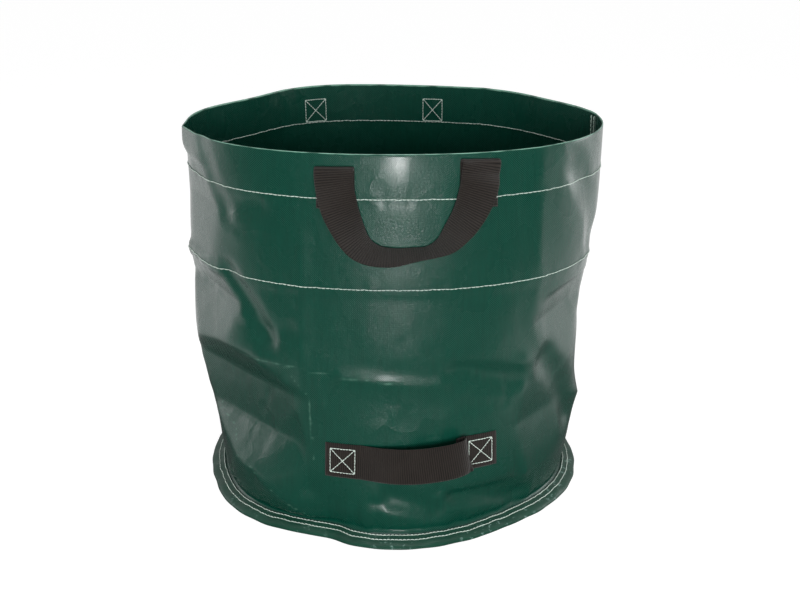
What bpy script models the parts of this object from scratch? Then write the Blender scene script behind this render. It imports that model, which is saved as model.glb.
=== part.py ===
"""Garden waste bag of woven sheet, with webbing handles, standing open.

The side wall is one sheet.  It starts in the bound seam round the base, goes up to the rim and is
folded over there into a deep hem, sewn down with two rows of thread.  The bag is soft: it is round
at the base, oval at the rim, and its wall has the folds of a bag that was packed flat.

Sizes are in metres, angles in degrees.  An angle of 0 is the front, towards -Y, and +90 is +X.
"""
import math
from collections import namedtuple

import bmesh
import bpy
from mathutils import Vector
from mathutils.geometry import delaunay_2d_cdt

# Side wall and base
WALL_HEIGHT = 0.433
BASE_RADIUS = 0.2105
SHEET = 0.0006
GATHER_EASE = 0.0045
GATHER_HEIGHT = 0.040
RIM_LEAN = 0.015
RIM_SQUARENESS = 0.25
CREASE_ROUND = 0.0022
BASE_FLAT_RADIUS = 0.185

# Hem, measured down from the rim
HEM_DEPTH = 0.149
UPPER_STITCH_DEPTH = 0.047
LOWER_STITCH_DEPTH = 0.143
PLY_GAP = 0.0004
RIM_STEP = 0.0010

# Bound seam round the base
SEAM_WIDTH = 0.0195
SEAM_RISE = 0.0080
BINDING_WIDTH = 0.0165
BINDING = 0.0005
OUTER_STITCH_INSET = 0.0090
INNER_STITCH_INSET = 0.0150

# Webbing handles
WEBBING_WIDTH = 0.040
WEBBING = 0.0015
SEWN_LENGTH = 0.0425
SEWN_TOP_DEPTH = 0.0145
RIGHT_FOLD_RISE = 0.008
FOLD_RADIUS = 0.0024
LOOP_DROP = 0.086
LOOP_STAND_OFF = 0.0225
LOWER_SEWN_LENGTH = 0.040
LOWER_BOW = 0.0215
LOWER_BOW_RISE = 0.011
UPPER_LEFT_ANGLE = -18.5
UPPER_RIGHT_ANGLE = 26.6
REAR_TURN = 183.5
LOWER_HANDLE_HEIGHT = 0.098
LOWER_LEFT_ANGLE = -16.0
LOWER_RIGHT_ANGLE = 27.0
LOWER_HANDLE_TILT = 0.006
CALM_MARGIN = 0.018
CALM_FADE = 0.016

# Threads
THREAD = 0.0010
BOX_STITCH = 0.028
UPPER_BOX_MARGIN = 0.0115
LOWER_BOX_MARGIN = 0.006
SIDE_SEAM_ANGLE = 95.0
SIDE_SEAM_PITCH = 2.0

# Clearance between pieces that touch on the real bag
SEAT = 0.0003
BOX_SEAT = 0.0009

# Mesh resolution
COLUMNS = 72
LOWER_ROWS = 9
RIBBON_STEP = 0.0095

# Half width of the wall beyond the base, left and right, at shares of the wall height
WIDENING = (
    (0.00, 0.0000, 0.0000),
    (0.12, 0.0090, 0.0085),
    (0.22, 0.0150, 0.0135),
    (0.32, 0.0240, 0.0120),
    (0.42, 0.0310, 0.0125),
    (0.50, 0.0325, 0.0125),
    (0.68, 0.0310, 0.0240),
    (0.80, 0.0325, 0.0285),
    (1.00, 0.0320, 0.0310),
)

# A fold runs through points of angle and share of the wall height.  It lifts the sheet outwards, or
# inwards where lift is negative, and dies away within its reach above or left, and below or right.
Fold = namedtuple("Fold", "route lift reach_above reach_below crisp")
FOLDS = (
    # Creases left by packing the bag flat
    Fold(((-27.7, 1.00), (-29.2, 0.80), (-29.4, 0.63), (-28.5, 0.40)), 0.0022, 0.020, 0.020, True),
    Fold(((-139.0, 1.00), (-137.0, 0.86), (-138.0, 0.42)), 0.0030, 0.024, 0.024, True),
    Fold(((46.0, 0.98), (47.0, 0.55)), 0.0018, 0.024, 0.024, True),
    Fold(((146.0, 1.00), (148.0, 0.50), (147.0, 0.12)), 0.0028, 0.028, 0.028, True),
    Fold(((-17.0, 0.445), (-4.5, 0.436), (9.0, 0.424), (24.0, 0.43)), 0.0030, 0.016, 0.030, True),
    Fold(((120.0, 0.43), (165.0, 0.45), (205.0, 0.42)), 0.0035, 0.030, 0.034, True),
    # Corner of the left side, and the hem's own furrows
    Fold(((-78.0, 1.00), (-79.0, 0.86), (-80.0, 0.66)), 0.0045, 0.030, 0.030, True),
    Fold(((-64.5, 0.99), (-58.5, 0.88), (-55.0, 0.82)), -0.0028, 0.018, 0.014, False),
    Fold(((-75.0, 0.87), (-58.0, 0.85), (-43.0, 0.86)), -0.0022, 0.014, 0.020, False),
    Fold(((60.0, 0.93), (70.0, 0.80), (72.0, 0.72)), -0.0035, 0.026, 0.022, False),
    # Furrow that crosses the left of the front
    Fold(((-55.0, 0.67), (-46.4, 0.585), (-41.0, 0.515)), -0.0060, 0.020, 0.016, False),
    Fold(((-24.8, 0.445), (-23.1, 0.36)), 0.0020, 0.010, 0.010, True),
    Fold(((-31.0, 0.34), (-28.1, 0.287), (-23.6, 0.231), (-20.0, 0.17)), 0.0030, 0.016, 0.014, True),
    # Dents round the lower front and the right side
    Fold(((21.0, 0.445), (32.0, 0.425), (42.0, 0.405)), -0.0045, 0.022, 0.024, False),
    Fold(((43.5, 0.44), (44.0, 0.26), (45.0, 0.10)), 0.0042, 0.026, 0.026, True),
    Fold(((55.0, 0.42), (63.0, 0.31), (70.0, 0.22)), -0.0090, 0.036, 0.032, False),
    Fold(((-5.0, 0.130), (4.0, 0.105), (12.0, 0.080)), -0.0050, 0.022, 0.018, False),
    Fold(((19.0, 0.115), (32.0, 0.090), (42.0, 0.062)), -0.0085, 0.034, 0.018, False),
    Fold(((84.0, 0.70), (96.0, 0.66), (108.0, 0.58)), -0.0060, 0.040, 0.040, False),
    Fold(((76.0, 0.25), (92.0, 0.20), (105.0, 0.22)), 0.0045, 0.034, 0.030, True),
    # The side away from the camera
    Fold(((118.0, 0.32), (130.0, 0.22), (139.0, 0.10)), -0.0080, 0.040, 0.034, False),
    Fold(((-170.0, 0.30), (-158.0, 0.20), (-150.0, 0.09)), -0.0070, 0.034, 0.032, False),
    Fold(((172.0, 0.60), (164.0, 0.52), (160.0, 0.46)), -0.0050, 0.030, 0.026, False),
    Fold(((-128.0, 0.62), (-118.0, 0.52), (-112.0, 0.44)), -0.0060, 0.032, 0.030, False),
    Fold(((-122.0, 0.36), (-108.0, 0.30), (-97.0, 0.19)), 0.0065, 0.034, 0.026, True),
    Fold(((-100.0, 0.13), (-112.0, 0.10), (-126.0, 0.12)), 0.0060, 0.024, 0.020, True),
)

# Lower left of the front, where the sheet buckled into flat facets between sharp creases.  Each
# crease runs through points of angle, share of the wall height and lift beyond the oval.
CREASES = (
    # Packing crease, and the ridge that turns down from its end
    ((-100.0, 0.400, 0.0000), (-80.5, 0.384, 0.0010), (-63.0, 0.438, 0.0050), (-54.0, 0.457, 0.0055),
     (-40.0, 0.460, 0.0050), (-34.8, 0.462, 0.0045), (-30.9, 0.420, 0.0040), (-26.8, 0.385, 0.0035),
     (-26.2, 0.305, 0.0020), (-25.5, 0.210, 0.0000)),
    ((-34.8, 0.462, 0.0045), (-13.5, 0.443, 0.0015), (0.0, 0.430, 0.0000)),
    # Ridge down the left edge, that ends in the one that hangs over the base seam
    ((-80.5, 0.384, 0.0010), (-80.6, 0.323, 0.0005), (-75.4, 0.280, 0.0015), (-70.3, 0.231, 0.0030),
     (-60.6, 0.205, 0.0060), (-55.0, 0.150, 0.0090), (-48.6, 0.145, 0.0105), (-41.6, 0.113, 0.0115),
     (-32.4, 0.066, 0.0100), (-27.0, 0.038, 0.0070), (-20.8, 0.028, 0.0015)),
    ((-55.0, 0.150, 0.0090), (-64.0, 0.055, 0.0020)),
    ((-70.3, 0.231, 0.0030), (-76.0, 0.130, 0.0000)),
    # Floor of the dark facet
    ((-60.0, 0.300, -0.0040), (-47.0, 0.270, -0.0065), (-34.0, 0.255, -0.0045)),
    # Furrow above, and points where the facets run out
    ((-78.0, 0.560, 0.0000), (-58.0, 0.550, -0.0015), (-46.0, 0.540, -0.0020), (-30.0, 0.560, 0.0000)),
    ((-104.0, 0.250, 0.0000), (-96.0, 0.060, 0.0000), (-70.0, 0.000, 0.0000), (-40.0, 0.000, 0.0000),
     (-12.0, 0.000, 0.0000), (-8.0, 0.120, 0.0000), (-6.0, 0.300, 0.0000), (4.0, 0.420, 0.0000)),
)

# Where the rim stands out of its oval, more than lower down: angle, reach in degrees, push
RIM_WAVES = (
    (-118.0, 19.0, -0.0240),
    (-151.0, 21.0, 0.0120),
    (116.0, 18.0, -0.0190),
    (186.0, 24.0, 0.0060),
)

# Where the base seam stands out or is tucked in: angle, reach in degrees, push
SEAM_WAVES = (
    (-54.0, 16.0, 0.0060),
    (-31.0, 8.0, -0.0040),
    (-20.0, 8.0, -0.0095),
    (8.0, 20.0, 0.0015),
    (36.0, 20.0, -0.0070),
    (104.0, 24.0, -0.0050),
    (150.0, 20.0, 0.0040),
    (-150.0, 16.0, -0.0050),
    (-100.0, 22.0, 0.0030),
)

# Levels of the plies in the base seam, measured up from its underside
BASE_PLY = BINDING + SEAT
WALL_PLY = BASE_PLY + SHEET + SEAT
TOP_BINDING_PLY = WALL_PLY + SHEET + SEAT
SEAM_TOP = TOP_BINDING_PLY + BINDING
SEAM_SLOPE = SEAM_RISE / SEAM_WIDTH
HEM_INSET = 2 * SHEET + PLY_GAP
UPPER_STITCH_HEIGHT = WALL_HEIGHT - UPPER_STITCH_DEPTH
LOWER_STITCH_HEIGHT = WALL_HEIGHT - LOWER_STITCH_DEPTH
FOOT_TOP = SEAM_RISE + SEAM_TOP + 0.006
SEWN_OUT = SEAT + WEBBING / 2
COLUMN_SAG = BASE_RADIUS * (1.0 - math.cos(math.pi / COLUMNS))

COLOURS = {
    "woven_sheet": (0.012, 0.085, 0.052),
    "binding_tape": (0.012, 0.075, 0.047),
    "webbing": (0.020, 0.016, 0.014),
    "thread": (0.62, 0.72, 0.64),
}
ROUGHNESS = {"woven_sheet": 0.35, "binding_tape": 0.40, "webbing": 0.80, "thread": 0.60}


def clear_scene():
    for item in list(bpy.data.objects):
        bpy.data.objects.remove(item, do_unlink=True)


def material(kind):
    """The Principled material of one kind of piece, made once."""
    found = bpy.data.materials.get(kind)
    if found:
        return found
    made = bpy.data.materials.new(kind)
    made.use_nodes = True
    shader = made.node_tree.nodes["Principled BSDF"]
    shader.inputs["Base Color"].default_value = (*COLOURS[kind], 1.0)
    shader.inputs["Roughness"].default_value = ROUGHNESS[kind]
    shader.inputs["Metallic"].default_value = 0.0
    return made


def add_piece(name, points, faces, kind, smooth=True):
    """One named closed solid from its points and faces, facing outwards."""
    mesh = bpy.data.meshes.new(name)
    mesh.from_pydata([tuple(point) for point in points], [], faces)
    work = bmesh.new()
    work.from_mesh(mesh)
    bmesh.ops.recalc_face_normals(work, faces=work.faces)
    work.to_mesh(mesh)
    work.free()
    for face in mesh.polygons:
        face.use_smooth = smooth
    mesh.materials.append(material(kind))
    piece = bpy.data.objects.new(name, mesh)
    bpy.context.collection.objects.link(piece)
    return piece


def ease(share):
    """Smooth step from 0 to 1."""
    share = min(max(share, 0.0), 1.0)
    return share * share * (3.0 - 2.0 * share)


def through(values, places, at):
    """Smooth curve through values at the given places."""
    last = len(places) - 1
    at = min(max(at, places[0]), places[last])
    here = max(index for index in range(last) if places[index] <= at)
    span = places[here + 1] - places[here]
    step = (at - places[here]) / span

    def slope(index):
        before = max(index - 1, 0)
        after = min(index + 1, last)
        return (values[after] - values[before]) / (places[after] - places[before])

    return ((2 * step**3 - 3 * step**2 + 1) * values[here]
            + (step**3 - 2 * step**2 + step) * span * slope(here)
            + (3 * step**2 - 2 * step**3) * values[here + 1]
            + (step**3 - step**2) * span * slope(here + 1))


def turn(degrees):
    """The same angle between -180 and 180."""
    return (degrees + 180.0) % 360.0 - 180.0


def seam_wave(degrees):
    """How far the base seam stands out of its circle."""
    return sum(push * math.exp(-(turn(degrees - centre) / reach) ** 2)
               for centre, reach, push in SEAM_WAVES)


def fold_lift(fold, degrees, share):
    """What one fold adds to the wall's radius at a point of the sheet."""
    mid = fold.route[len(fold.route) // 2][0]
    across = BASE_RADIUS * math.radians(turn(degrees - mid))
    up = WALL_HEIGHT * share
    nearest = None
    for (start_angle, start_share), (end_angle, end_share) in zip(fold.route, fold.route[1:]):
        start_x = BASE_RADIUS * math.radians(turn(start_angle - mid))
        end_x = BASE_RADIUS * math.radians(turn(end_angle - mid))
        run_x = end_x - start_x
        run_y = WALL_HEIGHT * (end_share - start_share)
        gap_x = across - start_x
        gap_y = up - WALL_HEIGHT * start_share
        along = (gap_x * run_x + gap_y * run_y) / (run_x**2 + run_y**2)
        along = min(max(along, 0.0), 1.0)
        off_x = gap_x - along * run_x
        off_y = gap_y - along * run_y
        distance = math.hypot(off_x, off_y)
        side = run_x * off_y - run_y * off_x
        if nearest is None or distance < nearest[0]:
            nearest = (distance, side)
    distance, side = nearest
    reach = fold.reach_above if side > 0 else fold.reach_below
    part = distance / reach
    if part >= 1.0:
        return 0.0
    shape = (1.0 - part) ** 2 if fold.crisp else (1.0 - part * part) ** 2
    return fold.lift * shape


def facet_net():
    """The creases joined into triangles, each of three points of sideways, height and lift in metres."""
    places = []
    lifts = []
    joints = []
    for crease in CREASES:
        joints += [(len(places) + index, len(places) + index + 1) for index in range(len(crease) - 1)]
        for degrees, share, lift in crease:
            places.append(Vector((BASE_RADIUS * math.radians(degrees), WALL_HEIGHT * share)))
            lifts.append(lift)
    corners, _, triangles, sources, _, _ = delaunay_2d_cdt(places, joints, [], 0, 1e-6)
    net = []
    for triangle in triangles:
        net.append([(corners[index].x, corners[index].y, lifts[sources[index][0]]) for index in triangle])
    return net


def facet_lift(degrees, height):
    """What the facets add to the wall's radius, rounded over a few millimetres at their creases."""
    total = 0.0
    for off_x, off_y in ((-1, -1), (-1, 1), (1, -1), (1, 1)):
        x = BASE_RADIUS * math.radians(turn(degrees)) + off_x * CREASE_ROUND
        y = height + off_y * CREASE_ROUND
        for (ax, ay, a), (bx, by, b), (cx, cy, c) in NET:
            size = (bx - ax) * (cy - ay) - (cx - ax) * (by - ay)
            if abs(size) < 1e-9:
                continue
            second = ((x - ax) * (cy - ay) - (cx - ax) * (y - ay)) / size
            third = ((bx - ax) * (y - ay) - (x - ax) * (by - ay)) / size
            if second >= 0.0 and third >= 0.0 and second + third <= 1.0:
                total += a + (b - a) * second + (c - a) * third
                break
    return total / 4


NET = facet_net()


def rim_wave(degrees):
    """How far the rim stands out of its oval."""
    return sum(push * math.exp(-(turn(degrees - centre) / reach) ** 2)
               for centre, reach, push in RIM_WAVES)


def calm(degrees, height):
    """1 on the open sheet, 0 under the sewn ends of the webbing, which hold the sheet smooth."""
    half = WEBBING_WIDTH / 2 + CALM_MARGIN
    sewn_height = WALL_HEIGHT - SEWN_TOP_DEPTH - SEWN_LENGTH / 2
    patches = [(UPPER_LEFT_ANGLE, sewn_height), (UPPER_RIGHT_ANGLE, sewn_height)]
    patches += [(REAR_TURN + angle, sewn_height) for angle in (UPPER_LEFT_ANGLE, UPPER_RIGHT_ANGLE)]
    patches += [(LOWER_LEFT_ANGLE, LOWER_HANDLE_HEIGHT - LOWER_HANDLE_TILT / 2),
                (LOWER_RIGHT_ANGLE, LOWER_HANDLE_HEIGHT + LOWER_HANDLE_TILT / 2)]
    loose = 1.0
    for centre, level in patches:
        off_x = abs(BASE_RADIUS * math.radians(turn(degrees - centre)))
        off_y = abs(height - level)
        outside = max(off_x, off_y) - half
        loose = min(loose, ease(outside / CALM_FADE))
    return loose


def half_sizes(degrees, share):
    """Half width and half depth of the oval at a share of the wall height.

    The sheet is as long round at every height, so what the bag gains in width it loses in depth.
    """
    places = [row[0] for row in WIDENING]
    left = BASE_RADIUS + through([row[1] for row in WIDENING], places, share)
    right = BASE_RADIUS + through([row[2] for row in WIDENING], places, share)
    round_radius = BASE_RADIUS + GATHER_EASE * ease(share * WALL_HEIGHT / GATHER_HEIGHT)
    mean = (left + right) / 2
    depth = math.sqrt(2 * round_radius**2 - mean**2)
    width = right if math.sin(math.radians(degrees)) > 0 else left
    return width, depth


def wall_point(degrees, height, out=0.0):
    """A point of the wall's outer face, or out beyond it."""
    share = height / WALL_HEIGHT
    angle = math.radians(degrees)
    width, depth = half_sizes(degrees, share)
    power = 2.0 + RIM_SQUARENESS * ease(share)
    radius = ((abs(math.sin(angle)) / width) ** power
              + (abs(math.cos(angle)) / depth) ** power) ** (-1.0 / power)
    rise = ease((height - SEAM_RISE) / (FOOT_TOP - SEAM_RISE))
    folds = sum(fold_lift(fold, degrees, share) for fold in FOLDS) + facet_lift(degrees, height)
    radius += folds * rise * calm(degrees, height)
    radius += rim_wave(degrees) * share**2
    radius += seam_wave(degrees) * (1.0 - ease(height / (2 * GATHER_HEIGHT)))
    radius += out
    lean = RIM_LEAN * share**3
    return Vector((radius * math.sin(angle), lean - radius * math.cos(angle), height))


def wall_frame(degrees, height):
    """Sideways, up and outward directions of the wall, taken over the webbing's width."""
    reach = WEBBING_WIDTH / 2
    up = (wall_point(degrees, height + reach) - wall_point(degrees, height - reach)).normalized()
    outward = wall_point(degrees, height, 1.0) - wall_point(degrees, height)
    sideways = up.cross(outward).normalized()
    return sideways, up, sideways.cross(up)


def seam_point(degrees, inset, level):
    """A point of the base seam, inset from its edge and level above its underside."""
    radius = BASE_RADIUS + SEAM_WIDTH + seam_wave(degrees) - inset
    angle = math.radians(degrees)
    return Vector((radius * math.sin(angle), -radius * math.cos(angle), SEAM_SLOPE * inset + level))


def wall_rows():
    """Heights of the rings of the wall, and those of the hem among them."""
    hem_end = WALL_HEIGHT - HEM_DEPTH
    lower = []
    for index in range(LOWER_ROWS):
        share = (index / LOWER_ROWS) ** 1.2
        lower.append(FOOT_TOP + (hem_end - FOOT_TOP) * share)
    middle = LOWER_STITCH_HEIGHT + (UPPER_STITCH_HEIGHT - LOWER_STITCH_HEIGHT) * 0.52
    top = WALL_HEIGHT - RIM_STEP
    hem = [hem_end, LOWER_STITCH_HEIGHT, middle, UPPER_STITCH_HEIGHT]
    hem += [(UPPER_STITCH_HEIGHT + top) / 2, top]
    return lower + hem, hem


def split_face(points, low_here, low_there, high_there, high_here):
    """Two triangles of a four-sided face, split the same way whichever way round it is given.

    The two faces of a thin ply then bend along the same line, and can't cross.
    """
    if points[low_here].z < points[high_here].z:
        return [(low_here, low_there, high_there), (low_here, high_there, high_here)]
    return [(low_here, low_there, high_here), (low_there, high_there, high_here)]


def add_ring_solid(name, section, kind):
    """A closed ring: one section of points for each column, joined to the next column."""
    points = []
    faces = []
    for column in range(COLUMNS):
        points += section(360.0 * column / COLUMNS)
    count = len(points) // COLUMNS
    for column in range(COLUMNS):
        here = column * count
        there = (column + 1) % COLUMNS * count
        for index in range(count):
            after = (index + 1) % count
            faces += split_face(points, here + index, there + index, there + after, here + after)
    return add_piece(name, points, faces, kind)


def add_side_wall():
    """The one sheet of wall and hem, from inside the base seam up over the rim."""
    rows, hem_rows = wall_rows()
    edge_inset = BINDING + SEAT

    def section(degrees):
        seam_face = [seam_point(degrees, inset, WALL_PLY + SHEET) for inset in (edge_inset, SEAM_WIDTH)]
        outside = [wall_point(degrees, height) for height in rows]
        rim = [wall_point(degrees, WALL_HEIGHT, -HEM_INSET * share) for share in (0.2, 0.8)]
        hem_face = [wall_point(degrees, height, -HEM_INSET) for height in reversed(hem_rows)]
        hem_back = [wall_point(degrees, height, -SHEET - PLY_GAP) for height in hem_rows]
        inside = [wall_point(degrees, height, -SHEET) for height in reversed(rows)]
        seam_back = [
            seam_point(degrees, SEAM_WIDTH + SHEET * 1.5, WALL_PLY + SHEET),
            seam_point(degrees, SEAM_WIDTH + SHEET * 0.3, WALL_PLY),
            seam_point(degrees, edge_inset, WALL_PLY),
        ]
        return seam_face + outside + rim + hem_face + hem_back + inside + seam_back

    add_ring_solid("side_wall", section, "woven_sheet")


def add_base_panel():
    """The round base: flat on the ground, and lifted at its edge into the bound seam."""
    shoulder = (BASE_FLAT_RADIUS + BASE_RADIUS) / 2
    edge_inset = BINDING + SEAT

    def section(degrees):
        angle = math.radians(degrees)
        across = Vector((math.sin(angle), -math.cos(angle), 0.0))
        lift = Vector((0.0, 0.0, (SEAM_RISE + BASE_PLY) * 0.45))
        under = [across * BASE_FLAT_RADIUS, across * shoulder + lift]
        under += [seam_point(degrees, SEAM_WIDTH, BASE_PLY), seam_point(degrees, edge_inset, BASE_PLY)]
        ply = Vector((0.0, 0.0, SHEET))
        return under + [point + ply for point in reversed(under)]

    points = []
    faces = []
    for column in range(COLUMNS):
        points += section(360.0 * column / COLUMNS)
    count = len(points) // COLUMNS
    for column in range(COLUMNS):
        here = column * count
        there = (column + 1) % COLUMNS * count
        for index in range(count - 1):
            faces += split_face(points, here + index, there + index, there + index + 1, here + index + 1)
    faces.append([column * count for column in range(COLUMNS)])
    faces.append([column * count + count - 1 for column in range(COLUMNS)])
    add_piece("base_panel", points, faces, "woven_sheet")


def add_base_binding():
    """The tape folded over the edges of wall and base."""
    def section(degrees):
        outside = [
            seam_point(degrees, BINDING_WIDTH, 0.0),
            seam_point(degrees, BINDING, 0.0),
            seam_point(degrees, 0.0, SEAM_TOP / 2),
            seam_point(degrees, BINDING, SEAM_TOP),
            seam_point(degrees, BINDING_WIDTH, SEAM_TOP),
        ]
        inside = [
            seam_point(degrees, BINDING_WIDTH, TOP_BINDING_PLY),
            seam_point(degrees, BINDING, TOP_BINDING_PLY),
            seam_point(degrees, BINDING, BINDING),
            seam_point(degrees, BINDING_WIDTH, BINDING),
        ]
        return outside + inside

    add_ring_solid("base_binding", section, "binding_tape")


# A station of a webbing route: angle and height on the wall, how far out the webbing's middle lies,
# the direction of its width in the wall's plane (0 is along +X, 90 is up), its roll out of that
# plane, and how closely it follows the wall, from 0 to 1.
Station = namedtuple("Station", "angle height out heading roll hug")


def upper_route():
    """Stations of an upper handle: sewn end, fold at the top, hanging loop, fold and sewn end.

    Free stations lie at shares of the loop's drop below the fold and of its stand-off.
    """
    top = WALL_HEIGHT - SEWN_TOP_DEPTH
    high = top + RIGHT_FOLD_RISE
    low = top - SEWN_LENGTH
    left = UPPER_LEFT_ANGLE
    right = UPPER_RIGHT_ANGLE
    span = right - left
    turn_out = FOLD_RADIUS
    flat = [
        Station(left, low, SEWN_OUT, 0, 0, 1),
        Station(left, low + SEWN_LENGTH * 0.33, SEWN_OUT, 0, 0, 1),
        Station(left, low + SEWN_LENGTH * 0.66, SEWN_OUT, 0, 0, 1),
        Station(left, top - 1.45 * turn_out, SEWN_OUT, 0, 0, 1),
        Station(left, top - 0.80 * turn_out, SEWN_OUT, 0, 0, 1),
        Station(left, top + 0.50 * turn_out, SEWN_OUT + turn_out, 0, 0, 1),
        Station(left, top - 1.25 * turn_out, SEWN_OUT + 2.1 * turn_out, 0, 0, 0.9),
    ]
    loop = [
        (0.011, 0.186, 0.411, 4, 8, 0.5),
        (0.049, 0.395, 0.689, 12, 30, 0.1),
        (0.093, 0.581, 0.822, 20, 45, 0),
        (0.155, 0.791, 0.933, 34, 56, 0),
        (0.217, 0.919, 0.956, 52, 63, 0),
        (0.302, 0.983, 1.000, 74, 69, 0),
        (0.412, 1.000, 1.000, 90, 73, 0),
        (0.528, 0.971, 1.000, 103, 80, 0),
        (0.643, 0.936, 1.022, 114, 84, 0),
        (0.741, 0.849, 1.000, 128, 75, 0),
        (0.816, 0.698, 0.911, 140, 65, 0),
        (0.876, 0.523, 0.911, 150, 58, 0),
        (0.922, 0.349, 0.844, 158, 48, 0),
        (0.962, 0.163, 0.689, 166, 32, 0.1),
        (0.987, 0.047, 0.393, 175, 12, 0.5),
    ]
    hanging = [Station(left + span * along, top - LOOP_DROP * drop, LOOP_STAND_OFF * out, heading, roll, hug)
               for along, drop, out, heading, roll, hug in loop]
    back = [
        Station(right, high - 1.67 * turn_out, SEWN_OUT + 2.17 * turn_out, 180, 0, 0.9),
        Station(right, high, SEWN_OUT + turn_out, 180, 0, 1),
        Station(right, high - 1.45 * turn_out, SEWN_OUT, 180, 0, 1),
        Station(right, high - 2.08 * turn_out, SEWN_OUT, 180, 0, 1),
        Station(right, low + SEWN_LENGTH * 0.66, SEWN_OUT, 180, 0, 1),
        Station(right, low + SEWN_LENGTH * 0.33, SEWN_OUT, 180, 0, 1),
        Station(right, low, SEWN_OUT, 180, 0, 1),
    ]
    return flat + hanging + back


def lower_route():
    """Stations of the lower handle: sewn flat, bowed out with some slack, folded back, sewn flat.

    Free stations lie at shares of the way to the fold, of its rise and of its bow.
    """
    left = LOWER_LEFT_ANGLE
    right = LOWER_RIGHT_ANGLE
    low = LOWER_HANDLE_HEIGHT - LOWER_HANDLE_TILT / 2
    high = LOWER_HANDLE_HEIGHT + LOWER_HANDLE_TILT / 2
    half = math.degrees(LOWER_SEWN_LENGTH / 2 / BASE_RADIUS)
    start = [
        Station(left - half, low, SEWN_OUT, 90, 0, 1),
        Station(left, low, SEWN_OUT, 90, 0, 1),
        Station(left + half - 0.5, low, SEWN_OUT, 90, 0, 1),
        Station(left + half, low, SEWN_OUT, 90, 0, 1),
    ]
    bow = [
        (0.243, 0.00, 0.186, 90, 0, 0.5),
        (0.378, 0.09, 0.465, 90, 2, 0),
        (0.554, 0.27, 0.744, 91, 3, 0),
        (0.730, 0.55, 0.930, 93, 3, 0),
        (0.873, 0.82, 1.000, 95, 2, 0),
        (0.968, 1.00, 0.884, 97, 0, 0),
        (1.000, 1.00, 0.628, 97, 0, 0),
        (0.978, 0.73, 0.381, 95, 0, 0.6),
    ]
    reach = right - left - half
    free = [Station(left + reach * along, low + LOWER_BOW_RISE * rise, LOWER_BOW * out, heading, roll, hug)
            for along, rise, out, heading, roll, hug in bow]
    end = [
        Station(right - 1.4 * half, high, SEWN_OUT + FOLD_RADIUS, 90, 0, 1),
        Station(right - half, high, SEWN_OUT, 90, 0, 1),
        Station(right - half + 0.5, high, SEWN_OUT, 90, 0, 1),
        Station(right, high, SEWN_OUT, 90, 0, 1),
        Station(right + half, high, SEWN_OUT, 90, 0, 1),
    ]
    return start + free + end


class Webbing:
    """A strap along its stations, as a smooth ribbon."""

    def __init__(self, stations, half_turn=False):
        self.turned = REAR_TURN if half_turn else 0.0
        self.stations = stations
        centres = [wall_point(s.angle + self.turned, s.height, s.out) for s in stations]
        self.places = [0.0]
        for before, after in zip(centres, centres[1:]):
            self.places.append(self.places[-1] + (after - before).length)
        self.length = self.places[-1]

    def station(self, along):
        """Angle, height, out, heading, roll and hug at a distance along the strap."""
        columns = zip(*self.stations)
        return Station(*(through(column, self.places, along) for column in columns))

    def centre(self, along):
        here = self.station(along)
        return wall_point(here.angle + self.turned, here.height, here.out)

    def point(self, along, across, level):
        """A point of the strap: across its width from its middle, level above its middle ply."""
        here = self.station(along)
        step = RIBBON_STEP / 8
        low = max(along - step, 0.0)
        high = min(along + step, self.length)
        travel = (self.centre(high) - self.centre(low)).normalized()
        degrees = here.angle + self.turned
        sideways, up, outward = wall_frame(degrees, here.height)
        heading = math.radians(here.heading)
        roll = math.radians(here.roll)
        plane = sideways * math.cos(heading) + up * math.sin(heading)
        width = plane * math.cos(roll) - outward * math.sin(roll)
        width = (width - travel * width.dot(travel)).normalized()
        normal = travel.cross(width).normalized()
        free = self.centre(along) + width * across
        if here.hug > 0.0:
            beside = wall_point(degrees, here.height) + width * across
            angle = math.degrees(math.atan2(beside.x, self.lean(beside.z) - beside.y))
            follow = wall_point(angle, beside.z, here.out)
            free = free.lerp(follow, min(here.hug, 1.0))
        return free + normal * level

    def lean(self, height):
        return RIM_LEAN * (height / WALL_HEIGHT) ** 3

    def samples(self):
        """Distances along the strap, closer together where it folds."""
        steps = []
        for low, high in zip(self.places, self.places[1:]):
            parts = max(1, round((high - low) / RIBBON_STEP))
            steps += [low + (high - low) * part / parts for part in range(parts)]
        return steps + [self.length]


def add_webbing(name, strap):
    """The strap as one closed solid, with five points across each face."""
    half = WEBBING_WIDTH / 2
    shares = (-1.0, -0.5, 0.0, 0.5, 1.0)
    points = []
    samples = strap.samples()
    for along in samples:
        for share in shares:
            points.append(strap.point(along, share * half, WEBBING / 2))
        for share in reversed(shares):
            points.append(strap.point(along, share * half, -WEBBING / 2))
    count = 2 * len(shares)
    faces = []
    for row in range(len(samples) - 1):
        here = row * count
        for index in range(count):
            after = (index + 1) % count
            faces.append((here + index, here + after, here + count + after, here + count + index))
    for row in (0, len(samples) - 1):
        here = row * count
        for index in range(len(shares) - 1):
            faces.append((here + index, here + index + 1, here + count - 2 - index,
                          here + count - 1 - index))
    add_piece(name, points, faces, "webbing")


def add_ring_thread(name, place):
    """A thread all round the bag: place(degrees, up, out) gives a point beside its line."""
    def section(degrees):
        half = THREAD / 2
        return [place(degrees, -half, 0.0), place(degrees, half, 0.0), place(degrees, 0.0, THREAD * 0.8)]

    add_ring_solid(name, section, "thread")


def over_webbing(degrees):
    """How far the upper hem thread stands out, to pass over the sewn ends of the webbing."""
    half = math.degrees(WEBBING_WIDTH / 2 / BASE_RADIUS)
    column = 360.0 / COLUMNS
    for centre in (UPPER_LEFT_ANGLE, UPPER_RIGHT_ANGLE):
        for facing in (0.0, REAR_TURN):
            if abs(turn(degrees - centre - facing)) < half + column:
                return 3 * SEAT + WEBBING
    return 0.0


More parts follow.
